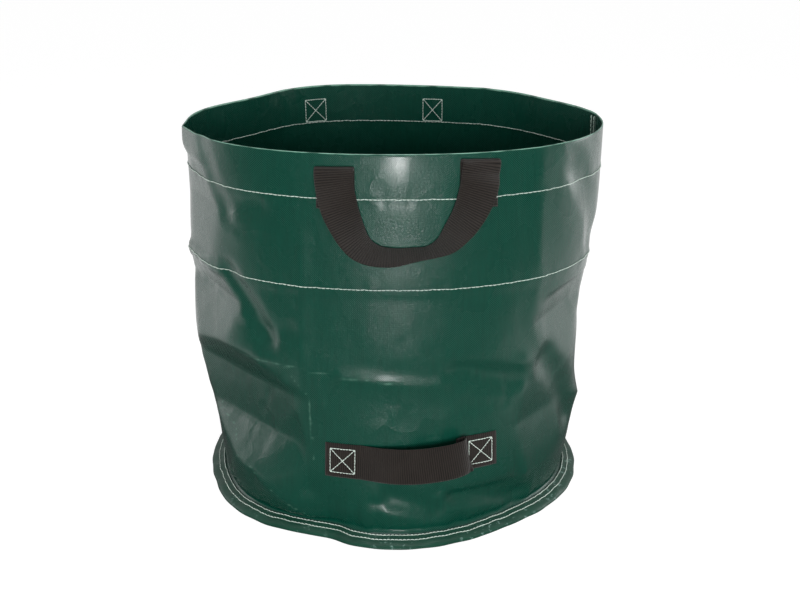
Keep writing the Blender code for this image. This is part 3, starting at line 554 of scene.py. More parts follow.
def wall_frame(degrees, height):
    """Sideways, up and outward directions of the wall, from points a webbing's width apart."""
    reach = WEBBING_WIDTH / 2
    up = unit(wall(degrees, height + reach, fine=False) - wall(degrees, height - reach, fine=False))
    outward = wall(degrees, height, 1.0, fine=False) - wall(degrees, height, fine=False)
    sideways = unit(np.cross(up, outward))
    return sideways, up, np.cross(sideways, up)


def seam(degrees, inset, level):
    """Points of the base seam: a cone that rises inwards from its edge, with ripples in radius and
    height that the gathered sheet gives it."""
    degrees, inset, level = np.broadcast_arrays(*(np.asarray(v, float) for v in (degrees, inset, level)))
    outer = ease(1.0 - inset / SEAM_WIDTH)
    radius = BASE_RADIUS + SEAM_WIDTH + stand_out(degrees, SEAM_WAVES) - inset
    radius = radius + SEAM_RIPPLE * outer * waves(degrees, (17, 29, 41), (0.3, 1.9, 5.0))
    lift = SEAM_LIFT * (1.0 + waves(degrees, (23, 37, 52), (2.0, 0.6, 3.3)))
    angle = np.radians(degrees)
    height = SEAM_SLOPE * inset + level + lift * ease(inset / 0.004) * (0.35 + 0.65 * outer)
    return np.stack([radius * np.sin(angle), -radius * np.cos(angle), height], axis=-1)


# Meshes

def make_mesh(name, points, faces, material, uv=None, marks=None):
    """An object from arrays of points and of faces; faces is a list of whole-number arrays, one for
    each number of corners, and uv holds a place on the flat sheet for every corner, in metres."""
    mesh = bpy.data.meshes.new(name)
    points = np.asarray(points, np.float32).reshape(-1, 3)
    corners = np.concatenate([block.reshape(-1) for block in faces]).astype(np.int32)
    totals = np.concatenate([np.full(len(block), block.shape[1]) for block in faces]).astype(np.int32)
    starts = np.concatenate([[0], np.cumsum(totals)[:-1]]).astype(np.int32)
    mesh.vertices.add(len(points))
    mesh.vertices.foreach_set("co", points.ravel())
    mesh.loops.add(len(corners))
    mesh.loops.foreach_set("vertex_index", corners)
    mesh.polygons.add(len(totals))
    mesh.polygons.foreach_set("loop_start", starts)
    mesh.polygons.foreach_set("loop_total", totals)
    mesh.polygons.foreach_set("use_smooth", np.full(len(totals), True))
    if uv is not None:
        layer = mesh.uv_layers.new(name="flat_sheet")
        layer.data.foreach_set("uv", np.asarray(uv, np.float32).ravel())
    for label, values in (marks or {}).items():
        attribute = mesh.attributes.new(label, "FLOAT", "POINT")
        attribute.data.foreach_set("value", np.asarray(values, np.float32).ravel())
    mesh.update(calc_edges=True)
    mesh.validate(clean_customdata=False)
    mesh.materials.append(material)
    piece = bpy.data.objects.new(name, mesh)
    bpy.context.scene.collection.objects.link(piece)
    return piece


def grid_faces(rows, columns, closed):
    """Corners of the four-sided faces of a grid, row by row, joined round where it is closed."""
    row = np.arange(rows - 1)[:, None]
    column = np.arange(columns if closed else columns - 1)[None, :]
    after = (column + 1) % columns
    return np.stack([row * columns + column, row * columns + after,
                     (row + 1) * columns + after, (row + 1) * columns + column], axis=-1).reshape(-1, 4)


def grid_uv(across, along, closed):
    """Flat places of each face corner: across for each column (with one more at the end of a closed
    grid), along for each row and column."""
    rows = along.shape[0]
    count = along.shape[1] if closed else along.shape[1] - 1
    row = np.arange(rows - 1)[:, None]
    column = np.arange(count)[None, :]
    after = column + 1
    wrapped = after % along.shape[1]
    corners = [(row, column, column), (row, after, wrapped), (row + 1, after, wrapped),
               (row + 1, column, column)]
    places = [np.stack(np.broadcast_arrays(across[c] + 0.0 * r, along[r, w]), axis=-1) for r, c, w in corners]
    return np.stack(places, axis=2).reshape(-1, 2)


def path_lengths(points):
    """Distance along each column of a grid, from its first row."""
    steps = np.linalg.norm(np.diff(points, axis=0), axis=-1)
    return np.concatenate([np.zeros((1, points.shape[1])), np.cumsum(steps, axis=0)])


def ring_sheet(name, points, material, skin, columns_degrees, marks=None, cap=False):
    """A closed ring of sheet from a grid of points, rows along the sheet and columns round the bag,
    given its thickness inwards by Solidify."""
    rows, columns = points.shape[:2]
    along = path_lengths(points)
    across = DEG_TO_SHEET * np.append(columns_degrees, columns_degrees[0] + 360.0)
    faces = [grid_faces(rows, columns, closed=True)]
    uv = grid_uv(across, along, closed=True)
    if cap:
        last = (rows - 1) * columns + np.arange(columns)
        faces.append(last[None, :])
        angle = np.radians(columns_degrees)
        uv = np.concatenate([uv, CAP_RADIUS * np.stack([np.sin(angle), np.cos(angle)], axis=1)])
    piece = make_mesh(name, points, faces, material, uv, marks=marks)
    shell = piece.modifiers.new("thickness", "SOLIDIFY")
    shell.thickness = skin
    shell.offset = -1.0
    return piece


def stitches(name, rows, material, radius):
    """Stitches as small arched capsules: each row is (start, end, outward) arrays, and a stitch is a
    tube along its line, thin at its ends, raised between them by half a sine and by its root."""
    start = np.concatenate([row[0] for row in rows])
    end = np.concatenate([row[1] for row in rows])
    outward = np.concatenate([row[2] for row in rows])
    travel = unit(end - start)
    beside = unit(np.cross(travel, outward))
    raised = np.cross(beside, travel)
    places = np.array([0.0, 0.12, 0.38, 0.62, 0.88, 1.0])
    girth = np.array([0.50, 0.88, 1.0, 1.0, 0.88, 0.50]) * radius
    lift = radius * (0.15 + 0.75 * np.sin(np.pi * places) ** 0.5) + STITCH_ARCH * np.sin(np.pi * places)
    round_angle = np.radians(np.arange(STITCH_SIDES) * 360.0 / STITCH_SIDES)
    centre = start[:, None] + (end - start)[:, None] * places[None, :, None]
    centre = centre + raised[:, None] * lift[None, :, None]
    ring = (beside[:, None] * np.cos(round_angle)[None, :, None]
            + raised[:, None] * np.sin(round_angle)[None, :, None])
    points = centre[:, :, None] + ring[:, None] * girth[None, :, None, None]
    count = len(places) * STITCH_SIDES
    base = np.arange(len(start))[:, None, None] * count
    sides = grid_faces(len(places), STITCH_SIDES, closed=True)[:, ::-1]
    caps = np.array([np.arange(STITCH_SIDES), count - 1 - np.arange(STITCH_SIDES)])
    faces = [(base + sides[None]).reshape(-1, 4), (base + caps[None]).reshape(-1, STITCH_SIDES)]
    return make_mesh(name, points, faces, material)


def stitch_row(place, start, end, pitch, seed, wander=STITCH_WANDER):
    """Starts, ends and outward directions of the stitches of a row.  place(along, aside, out) gives
    points; along runs from start to end, in metres, and each stitch leaves a gap to the next."""
    rng = np.random.default_rng(seed)
    count = max(int(round((end - start) / pitch)), 1)
    marks = np.linspace(start, end, count + 1)
    gap = (marks[1] - marks[0]) * STITCH_GAP / 2
    aside = rng.normal(0.0, wander, count + 1)
    first = place(marks[:-1] + gap, aside[:-1], 0.0)
    last = place(marks[1:] - gap, aside[1:], 0.0)
    middle = (marks[:-1] + marks[1:]) / 2
    outward = unit(place(middle, 0.0, 0.001) - place(middle, 0.0, 0.0))
    return first, last, outward


# Webbing straps

# A station of a webbing route: angle and height on the wall, how far out the webbing's middle lies,
# the direction of its width in the wall's plane (0 is along +X, 90 is up), its roll out of that
# plane, and how closely it follows the wall, from 0 to 1.
Station = namedtuple("Station", "angle height out heading roll hug")


def upper_route():
    """Stations of an upper handle: sewn end, fold at the top, hanging loop, fold and sewn end.

    Stations of a fold lie at turns of its radius, up and out.  Free stations lie at shares of the
    loop's drop below the fold and of its stand-off.
    """
    top = WALL_HEIGHT - SEWN_TOP_DEPTH
    high = top + RIGHT_FOLD_RISE
    low = top - SEWN_LENGTH
    left = UPPER_LEFT_ANGLE
    right = UPPER_RIGHT_ANGLE
    span = right - left
    shares = (0.0, 0.33, 0.66)
    rise = [(-1.45, 0.0, 1), (-0.80, 0.0, 1), (0.50, 1.0, 1), (-1.25, 2.1, 0.9)]
    fall = [(-1.67, 2.17, 0.9), (0.0, 1.0, 1), (-1.45, 0.0, 1), (-2.08, 0.0, 1)]
    flat = [Station(left, low + SEWN_LENGTH * share, SEWN_OUT, 0, 0, 1) for share in shares]
    flat += [Station(left, top + up * FOLD_RADIUS, SEWN_OUT + out * FOLD_RADIUS, 0, 0, hug)
             for up, out, hug in rise]
    loop = [
        (0.011, 0.186, 0.411, 4, 8, 0.5),
        (0.049, 0.395, 0.689, 12, 30, 0.1),
        (0.093, 0.581, 0.822, 20, 45, 0),
        (0.155, 0.791, 0.933, 34, 56, 0),
        (0.217, 0.919, 0.956, 52, 63, 0),
        (0.302, 0.983, 1.000, 74, 69, 0),
        (0.412, 1.000, 1.000, 90, 73, 0),
        (0.528, 0.971, 1.000, 103, 80, 0),
        (0.643, 0.936, 1.022, 114, 84, 0),
        (0.741, 0.849, 1.000, 128, 75, 0),
        (0.816, 0.698, 0.911, 140, 65, 0),
        (0.876, 0.523, 0.911, 150, 58, 0),
        (0.922, 0.349, 0.844, 158, 48, 0),
        (0.962, 0.163, 0.689, 166, 32, 0.1),
        (0.987, 0.047, 0.393, 175, 12, 0.5),
    ]
    hanging = [Station(left + span * along, top - LOOP_DROP * drop, LOOP_STAND_OFF * out, heading, roll, hug)
               for along, drop, out, heading, roll, hug in loop]
    back = [Station(right, high + up * FOLD_RADIUS, SEWN_OUT + out * FOLD_RADIUS, 180, 0, hug)
            for up, out, hug in fall]
    back += [Station(right, low + SEWN_LENGTH * share, SEWN_OUT, 180, 0, 1) for share in reversed(shares)]
    return flat + hanging + back


def lower_route():
    """Stations of the lower handle: sewn flat, bowed out with some slack, folded back, sewn flat.

    Free stations lie at shares of the way to the fold, of its rise and of its bow.
    """
    left = LOWER_LEFT_ANGLE
    right = LOWER_RIGHT_ANGLE
    low = LOWER_HANDLE_HEIGHT - LOWER_HANDLE_TILT / 2
    high = LOWER_HANDLE_HEIGHT + LOWER_HANDLE_TILT / 2
    half = math.degrees(LOWER_SEWN_LENGTH / 2 / BASE_RADIUS)
    start = [Station(angle, low, SEWN_OUT, 90, 0, 1)
             for angle in (left - half, left, left + half - 0.5, left + half)]
    bow = [
        (0.243, 0.00, 0.186, 90, 0, 0.5),
        (0.378, 0.09, 0.465, 90, 2, 0),
        (0.554, 0.27, 0.744, 91, 3, 0),
        (0.730, 0.55, 0.930, 93, 3, 0),
        (0.873, 0.82, 1.000, 95, 2, 0),
        (0.968, 1.00, 0.884, 97, 0, 0),
        (1.000, 1.00, 0.628, 97, 0, 0),
        (0.978, 0.73, 0.381, 95, 0, 0.6),
    ]
    reach = right - left - half
    free = [Station(left + reach * along, low + LOWER_BOW_RISE * rise, LOWER_BOW * out, heading, roll, hug)
            for along, rise, out, heading, roll, hug in bow]
    end = [Station(right - 1.4 * half, high, SEWN_OUT + FOLD_RADIUS, 90, 0, 1)]
    end += [Station(angle, high, SEWN_OUT, 90, 0, 1)
            for angle in (right - half, right - half + 0.5, right, right + half)]
    return start + free + end


class Strap:
    """A flat strap along its stations: a smooth curve beside the wall, whose width turns with the
    heading in the wall's plane and the roll out of it."""

    def __init__(self, stations, turned=0.0):
        self.table = np.array(stations, float)
        self.turned = turned
        centres = wall(self.table[:, 0] + turned, self.table[:, 1], self.table[:, 2], fine=False)
        steps = np.linalg.norm(np.diff(centres, axis=0), axis=1)
        self.places = np.concatenate([[0.0], np.cumsum(steps)])
        self.length = self.places[-1]

    def station(self, along):
        """Angle, height, out, heading, roll and hug at a distance along the strap."""
        return [through(column, self.places, along) for column in self.table.T]

    def centre(self, along):
        """Points of the strap's middle line."""
        angle, height, out = self.station(along)[:3]
        return wall(angle + self.turned, height, out, fine=False)

    def point(self, along, across, level):
        """Points of the strap: across its width from the middle line, and level above its middle."""
        along, across, level = np.broadcast_arrays(*(np.asarray(v, float) for v in (along, across, level)))
        angle, height, out, heading, roll, hug = self.station(along)
        step = 0.0012
        travel = unit(self.centre(np.minimum(along + step, self.length))
                      - self.centre(np.maximum(along - step, 0.0)))
        degrees = angle + self.turned
        sideways, up, outward = wall_frame(degrees, height)
        heading = np.radians(heading)[..., None]
        roll = np.radians(roll)[..., None]
        width = (sideways * np.cos(heading) + up * np.sin(heading)) * np.cos(roll) - outward * np.sin(roll)
        width = unit(width - travel * np.sum(width * travel, axis=-1, keepdims=True))
        normal = unit(np.cross(travel, width))
        free = self.centre(along) + width * across[..., None]
        beside = wall(degrees, height, fine=False) + width * across[..., None]
        lean = RIM_LEAN * (beside[..., 2] / WALL_HEIGHT) ** 3
        round_at = np.degrees(np.arctan2(beside[..., 0], lean - beside[..., 1]))
        follow = wall(round_at, beside[..., 2], out, fine=False)
        hug = np.clip(hug, 0.0, 1.0)[..., None]
        return free * (1.0 - hug) + follow * hug + normal * level[..., None]


def strap_mesh(name, strap, material):
    """The strap as a closed flat tube: a ring of points round its section at each step along it, the
    faces flat and the woven edges rounded and a little thicker."""
    steps = int(strap.length / STRAP_STEP)
    along = np.linspace(0.0, strap.length, steps)
    shares = np.sin(np.linspace(-1.0, 1.0, 15) * math.pi / 2 * 0.94) / math.sin(math.pi / 2 * 0.94)
    across = shares * WEBBING_WIDTH / 2
    rounding = 0.62 * np.abs(shares) ** 14
    selvedge = 0.10 * np.exp(-((np.abs(shares) - 0.9) / 0.05) ** 2)
    thick = WEBBING / 2 * (1.0 - rounding + selvedge)
    ring_across = np.concatenate([across, across[::-1]])
    ring_level = np.concatenate([thick, -thick[::-1]])
    points = strap.point(along[:, None], ring_across[None, :], ring_level[None, :])
    columns = len(ring_across)
    faces = [grid_faces(steps, columns, closed=True)[:, ::-1]]
    uv_across = np.append(ring_across, ring_across[0])
    uv = grid_uv(uv_across, np.repeat(along[:, None], columns, axis=1), closed=True)
    uv = uv.reshape(-1, 4, 2)[:, ::-1].reshape(-1, 2)
    half = columns // 2
    index = np.arange(half - 1)
    first = np.stack([index, index + 1, columns - 2 - index, columns - 1 - index], axis=1)
    last = (first + (steps - 1) * columns)[:, ::-1]
    caps = np.concatenate([first, last])
    uv = np.concatenate([uv, np.zeros((caps.size, 2))])
    return make_mesh(name, points, [np.concatenate([faces[0], caps])], material, uv)


def handle_straps():
    """The three straps: front and rear lifting loops and the low tipping handle."""
    return {
        "front": Strap(upper_route()),
        "rear": Strap(upper_route(), turned=REAR_TURN),
        "lower": Strap(lower_route()),
    }


# Materials

class Tone:
    """A value that changes over a surface: a node's output, with sums and products as Math nodes."""

    def __init__(self, finish, socket):
        self.finish = finish
        self.socket = socket

    def math(self, operation, *others):
        """A Math node of this value and others."""
        return self.finish.node("Math", {"operation": operation}, dict(enumerate((self, *others))))

    def __add__(self, other):
        return self.math("ADD", other)

    def __sub__(self, other):
        return self.math("SUBTRACT", other)

    def __rsub__(self, other):
        return self.finish.node("Math", {"operation": "SUBTRACT"}, {0: other, 1: self})

    def __mul__(self, other):
        return self.math("MULTIPLY", other)

    def __pow__(self, other):
        return self.math("POWER", other)

    __radd__ = __add__
    __rmul__ = __mul__


class Finish:
    """A node tree under way, for a material or the world, and its main shader."""

    def __init__(self, owner, constants=None, shader="Principled BSDF"):
        owner.use_nodes = True
        self.tree = owner.node_tree
        self.shader = self.tree.nodes.get(shader)
        for name, value in (constants or {}).items():
            self.shader.inputs[name].default_value = value

    def feed(self, socket, value):
        """Links a tone to a socket, or sets the socket's own value."""
        if isinstance(value, Tone):
            self.tree.links.new(value.socket, socket)
        else:
            socket.default_value = value

    def node(self, kind, settings=None, values=None, out=0):
        """A node of a type, with its settings, its sockets' values or links, and one of its outputs."""
        made = self.tree.nodes.new("ShaderNode" + kind)
        for name, value in (settings or {}).items():
            setattr(made, name, value)
        for name, value in (values or {}).items():
            self.feed(made.inputs[name], value)
        return Tone(self, made.outputs[out])

    def dress(self, inputs):
        """Feeds the main shader's sockets by name."""
        for name, value in inputs.items():
            self.feed(self.shader.inputs[name], value)

    def parts(self, vector):
        """The three parts of a vector."""
        split = self.tree.nodes.new("ShaderNodeSeparateXYZ")
        self.feed(split.inputs[0], vector)
        return [Tone(self, part) for part in split.outputs]

    def flat_place(self):
        """The two places on the flat sheet, in metres, from the piece's own UV map."""
        return self.parts(self.node("UVMap", {"uv_map": "flat_sheet"}))[:2]

    def place(self):
        """Object coordinates."""
        return self.node("TexCoord", out="Object")

    def noise(self, vector, scale, detail=2.0, rough=0.5, stretch=None):
        """Noise from 0 to 1 at a scale in waves for each metre, stretched where wanted."""
        if stretch:
            vector = self.node("Mapping", {}, {"Vector": vector, "Scale": stretch})
        return self.node("TexNoise", {}, {"Vector": vector, "Scale": scale, "Detail": detail,
                                          "Roughness": rough}, out="Fac")

    def crests(self, vector, scale, rough):
        """Noise folded at its middle: 1 along thin winding crests, and less on both sides of them."""
        return 1.0 - (self.noise(vector, scale, 2.0, rough) * 2.0 - 1.0).math("ABSOLUTE")

    def ramp(self, value, low, high):
        """0 below low, 1 above high and smooth between."""
        return self.node("MapRange", {"interpolation_type": "SMOOTHSTEP"},
                         {"Value": value, "From Min": low, "From Max": high})

    def mix(self, share, first, second):
        """One colour fading into another."""
        return self.node("Mix", {"data_type": "RGBA"}, {0: share, 6: first, 7: second}, out=2)

    def wave(self, value, length):
        """A sine of a flat place, one half wave for each length."""
        return (value * (math.pi / length)).math("SINE")

    def relief(self, height):
        """A Bump node for a height in metres."""
        return self.node("Bump", {}, {"Strength": 1.0, "Distance": 1.0, "Height": height})


def rgba(colour, gain):
    """The colour times a gain, with full opacity."""
    return (*(channel * gain for channel in colour), 1.0)


def woven_height(finish, across, along, tape, depth):
    """Height of a plain weave of flat tapes: warp on top in every other cell, each tape rounded
    across its own width."""
    first = finish.wave(across, tape)
    second = finish.wave(along, tape)
    over = finish.ramp(first * second, -0.18, 0.18)
    warp = first.math("ABSOLUTE") ** 0.45
    weft = second.math("ABSOLUTE") ** 0.45
    return (over * warp + (1.0 - over) * weft) * depth, over


def sheet_material(name, colour):
    """Coated woven sheet: dark plastic tapes under a thin film. Broad patches lie smooth or show
    the weave, small creases catch the light, and the folds and rim edge are paler: partly wear, partly
    painted highlight."""
    finish = Finish(bpy.data.materials.new(name), {"Specular IOR Level": 0.42, "Coat Roughness": 0.14})
    across, along = finish.flat_place()
    place = finish.place()
    fine, over = woven_height(finish, across, along, 0.00118, 0.000055)
    broad, _ = woven_height(finish, across, along, 0.00236, 0.000070)
    patch = finish.ramp(finish.noise(place, 7.0, 2.0), 0.42, 0.62)
    glossy = finish.ramp(finish.noise(place, 11.0, 2.0), 0.40, 0.66)
    large = finish.crests(place, 15.0, 0.45) ** 9.0
    small = finish.crests(place, 44.0, 0.5) ** 7.0
    crinkle = large * 0.00042 + small * 0.00013
    drawn = finish.noise(place, 420.0, 1.0, 0.5, (1.0, 1.0, 0.10))
    cells = finish.noise(place, 520.0, 0.0) * 0.00011 + finish.noise(place, 1100.0, 0.0) * 0.00005
    relief = fine + broad * (0.25 + patch * 0.75) + crinkle * (0.3 + glossy * 0.7)
    relief = relief + drawn * 0.00005 + cells
    spread = finish.noise(place, 60.0, 3.0, 0.6, (6.0, 6.0, 0.5))
    tint = finish.mix(spread, rgba(colour, 0.72), rgba(colour, 1.28))
    tint = finish.mix((1.0 - over) * 0.35, tint, rgba(colour, 0.50))
    # Pale mint along the marked creases and the rim: partly wear, partly a painted highlight on their crests
    wear = finish.node("Attribute", {"attribute_name": "wear"}, out="Fac")
    pale_wear_and_sheen = finish.ramp(wear + finish.noise(place, 110.0, 2.0) * 0.5, 0.50, 1.05)
    tint = finish.mix(pale_wear_and_sheen * 0.85, tint, (0.22, 0.45, 0.34, 1.0))
    finish.dress({
        "Normal": finish.relief(relief),
        "Base Color": tint,
        "Roughness": 0.15 + finish.noise(place, 24.0, 3.0) * 0.15 + over * 0.05,
        "Coat Weight": 0.08 + glossy * 0.14,
    })
    return bpy.data.materials[name]


def binding_material(name, colour):
    """Narrow woven tape: a plain weave, with pale specks in patches all over it, a painted highlight of
    glinting weave.
    """
    finish = Finish(bpy.data.materials.new(name), {"Specular IOR Level": 0.45})
    across, along = finish.flat_place()
    place = finish.place()
    height, over = woven_height(finish, across, along, 0.0013, 0.00007)
    tint = finish.mix(finish.noise(place, 40.0, 3.0), rgba(colour, 0.7), rgba(colour, 1.4))
    # Pale specks in patches over the tape: painted highlight, glints of the weave
    painted_glints = finish.ramp(finish.noise(place, 190.0, 2.0), 0.58, 0.70)
    glint_patches = finish.ramp(finish.noise(place, 14.0), 0.45, 0.6)
    tint = finish.mix(painted_glints * glint_patches * 0.6, tint, (0.22, 0.36, 0.32, 1.0))
    finish.dress({"Normal": finish.relief(height), "Base Color": tint, "Roughness": 0.34 + over * 0.12})
    return bpy.data.materials[name]


def webbing_material(name, colour):
    """Heavy webbing: cross ribs, each a row of small knuckles, with painted shade in the gaps between them
    and painted highlight on the knuckles.
    """
    finish = Finish(bpy.data.materials.new(name), {"Specular IOR Level": 0.25, "Sheen Weight": 0.12,
                                                   "Sheen Roughness": 0.5})
    across, along = finish.flat_place()
    place = finish.place()
    rib = finish.wave(along, 0.0024).math("ABSOLUTE")
    turned = finish.wave(along, 0.0048).math("SIGN")
    knuckle = finish.wave(across + turned * 0.00060, 0.0012).math("ABSOLUTE")
    height = (rib ** 0.8) * (0.45 + knuckle * 0.55)
    fuzz = finish.noise(place, 900.0, 2.0)
    # Colour follows the rib height: painted shade in the gaps, painted highlight on the knuckle tops
    tint = finish.mix(finish.ramp(height, 0.15, 0.90), rgba(colour, 0.22), rgba(colour, 1.5))
    tint = finish.mix(finish.ramp(finish.noise(place, 35.0, 3.0), 0.4, 0.7) * 0.35, tint, rgba(colour, 1.3))
    finish.dress({
        "Normal": finish.relief(height * 0.00060 + fuzz * 0.00005),
        "Base Color": tint,
        "Roughness": 0.62 + fuzz * 0.2,
    })
    return bpy.data.materials[name]


def thread_material(name, colour):
    """Twisted pale thread."""
    finish = Finish(bpy.data.materials.new(name), {"Specular IOR Level": 0.35, "Sheen Weight": 0.15})
    place = finish.place()
    twist = finish.noise(place, 1400.0, 1.0)
    finish.dress({
        "Normal": finish.relief(twist * 0.00008),
        "Base Color": finish.mix(finish.noise(place, 30.0, 2.0), rgba(colour, 0.82), rgba(colour, 1.05)),
        "Roughness": 0.5 + twist * 0.2,
    })
    return bpy.data.materials[name]


def finish_of(kind):
    """The material of one kind, made when it is first asked for."""
    found = bpy.data.materials.get("bag_" + kind)
    if found:
        return found
    colours = bpy.context.scene.bag_colours
    makers = {
        "woven_sheet": (sheet_material, colours.sheet),
        "binding_tape": (binding_material, colours.binding),
        "webbing": (webbing_material, colours.webbing),
        "thread": (thread_material, colours.thread),
    }
    maker, colour = makers[kind]
    return maker("bag_" + kind, tuple(colour))


def settle(piece, kind, *nodes):
    """The piece rides with the bag and stands for its CAD nodes, which it hides; its kind is not used."""
    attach(piece, "root")
    if nodes:
        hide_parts(*nodes)
    return piece


# Sizes and colours that a user would change

class BagSizes(bpy.types.PropertyGroup):
    columns: IntProperty(name="Columns", description="Points round the bag", default=320, min=72)
    row_pitch: FloatProperty(name="Row pitch", description="Distance between rows of points up the wall",
                             default=0.0043, unit="LENGTH")
    hem_stitch: FloatProperty(name="Hem stitch", description="Length of a stitch of the hem",
                              default=0.0050, unit="LENGTH")
    box_stitch: FloatProperty(name="Box stitch", description="Length of a stitch of the crossed boxes",
                              default=0.0033, unit="LENGTH")
    thread_radius: FloatProperty(name="Thread radius", description="Half the thickness of the thread",
                                 default=0.00048, unit="LENGTH", precision=5)


class BagColours(bpy.types.PropertyGroup):
    sheet: FloatVectorProperty(name="Sheet", description="Woven sheet", subtype="COLOR",
                               default=(0.0030, 0.056, 0.036))
    binding: FloatVectorProperty(name="Binding", description="Tape round the base seam", subtype="COLOR",
                                 default=(0.0060, 0.050, 0.030))
    webbing: FloatVectorProperty(name="Webbing", description="Handles", subtype="COLOR",
                                 default=(0.021, 0.017, 0.0145))
    thread: FloatVectorProperty(name="Thread", description="All stitches", subtype="COLOR",
                                default=(0.72, 0.84, 0.76))


class BAG_OT_wall(bpy.types.Operator):
    """Build the side wall and its folded hem from one sheet"""
    bl_idname = "bag.wall"
    bl_label = "Side wall and hem"

    def execute(self, context):
        sizes = context.scene.bag_sizes
        degrees = SIDE_SEAM_ANGLE + np.arange(sizes.columns) * 360.0 / sizes.columns
        edge = BINDING + SEAT
        flange = [seam(degrees, inset, WALL_PLY + SHEET) for inset in np.linspace(edge, SEAM_WIDTH, 5)]
        low = flange[-1]
        high = wall(degrees, FOOT_TOP)
        foot = []
        for share in (0.16, 0.40, 0.70):
            tuck = 0.0012 * math.sin(math.pi * share)
            point = low + (high - low) * share
            point[:, :2] *= 1.0 - tuck / BASE_RADIUS
            foot.append(point)
        top = WALL_HEIGHT - RIM_ROLL
        heights = np.linspace(FOOT_TOP, top, int((top - FOOT_TOP) / sizes.row_pitch))
        outside = [wall(degrees, height) for height in heights]
        rim = [wall(degrees, WALL_HEIGHT - down, -HEM_INSET * share) for down, share in RIM_PATH]
        down = np.linspace(top, HEM_END, int((top - HEM_END) / sizes.row_pitch))
        flap = [wall(degrees, height, -HEM_INSET) for height in down]
        points = np.stack(flange + foot + outside + rim + flap)
        wear = np.zeros(points.shape[:2])
        first = len(flange) + len(foot) + len(outside)
        # Paleness along the creases and round the rim: partly wear, partly a painted highlight on the crests
        wear[first - len(outside):first] = 0.40 * crease_wear_and_sheen(degrees[None], heights[:, None])
        wear[first + 1:first + len(rim)] = (0.70 + 0.25 * waves(degrees, (19, 34, 53), (0.2, 1.1, 3.0)))[None]
        piece = ring_sheet("bag_wall", points, finish_of("woven_sheet"), WALL_SKIN, degrees,
                           marks={"wear": wear})
        settle(piece, "woven_sheet", "side_wall")
        return {"FINISHED"}


class BAG_OT_base(bpy.types.Operator):
    """Build the round base sheet and the tape folded over the base seam"""
    bl_idname = "bag.base"
    bl_label = "Base and binding"

    def execute(self, context):
        degrees = SIDE_SEAM_ANGLE + np.arange(BASE_COLUMNS) * 360.0 / BASE_COLUMNS
        angle = np.radians(degrees)
        edge = BINDING + SEAT
        rows = [seam(degrees, inset, BASE_PLY + SHEET) for inset in np.linspace(edge, SEAM_WIDTH, 5)]
        corner = rows[-1]
        flat = np.stack([BASE_FLAT_RADIUS * np.sin(angle), -BASE_FLAT_RADIUS * np.cos(angle),
                         np.full_like(angle, SHEET)], axis=-1)
        for share in np.linspace(0.0, 1.0, 8)[1:]:
            point = corner + (flat - corner) * share
            point[:, 2] = corner[:, 2] + (SHEET - corner[:, 2]) * ease(share * 0.94 + 0.06)
            rows.append(point)
        for radius in np.linspace(BASE_FLAT_RADIUS, CAP_RADIUS, 34)[1:]:
            swell = BASE_SWELL * (1.0 + waves(degrees + 900.0 * radius, (3, 5, 8), (0.0, 2.0, 4.0)))
            swell = swell * ease(radius / 0.05) * (0.4 + 0.6 * np.cos(radius * 55.0) ** 2)
            rows.append(np.stack([radius * np.sin(angle), -radius * np.cos(angle), SHEET + swell], axis=-1))
        points = np.stack(rows)
        piece = ring_sheet("base_sheet", points, finish_of("woven_sheet"), WALL_SKIN, degrees, cap=True)
        settle(piece, "woven_sheet", "base_panel")
        under = [seam(degrees, inset, 0.0) for inset in np.linspace(BINDING_WIDTH, TAPE_BEND, 7)]
        half = SEAM_TOP / 2
        bend = [seam(degrees, half * (1.0 - math.cos(phi)), half * (1.0 + math.sin(phi)))
                for phi in np.radians(np.linspace(-80.0, 80.0, 8))]
        over = [seam(degrees, inset, SEAM_TOP) for inset in np.linspace(TAPE_BEND, BINDING_WIDTH, 7)]
        tape = ring_sheet("edge_binding", np.stack(under + bend + over), finish_of("binding_tape"),
                          BINDING, degrees)
        settle(tape, "binding_tape", "base_binding")
        return {"FINISHED"}


class BAG_OT_straps(bpy.types.Operator):
    """Build the webbing of the two lifting loops and of the low handle"""
    bl_idname = "bag.straps"
    bl_label = "Webbing straps"

    def execute(self, context):
        for label, strap in handle_straps().items():
            piece = strap_mesh(f"{label}_strap", strap, finish_of("webbing"))
            settle(piece, "webbing", f"{label}_handle")
        return {"FINISHED"}


def over_webbing(degrees):
    """How far the upper row of the hem's stitches lies off the wall where it crosses the webbing."""
    half = (WEBBING_WIDTH / 2 + 0.0012) / DEG_TO_SHEET
    over = np.zeros_like(degrees)
    for centre in UPPER_ANGLES:
        near = np.abs(turn(degrees - centre))
        over = np.maximum(over, (SEAT + WEBBING) * ease((half - near) / 0.6 + 1.0))
    return over


def round_seam(inset, level, hand):
    """Places of a row round the base seam; hand is 1 above the binding and -1 below it."""
    def place(along, aside, out):
        return seam(along / DEG_TO_SHEET, inset + aside, level + hand * out)
    return place


def up_wall(degrees, level, hand):
    """Places of a row up the wall; hand is 1 on its outside and -1 on its inside."""
    def place(along, aside, out):
        return wall(degrees + aside / DEG_TO_SHEET, along, level + hand * out)
    return place


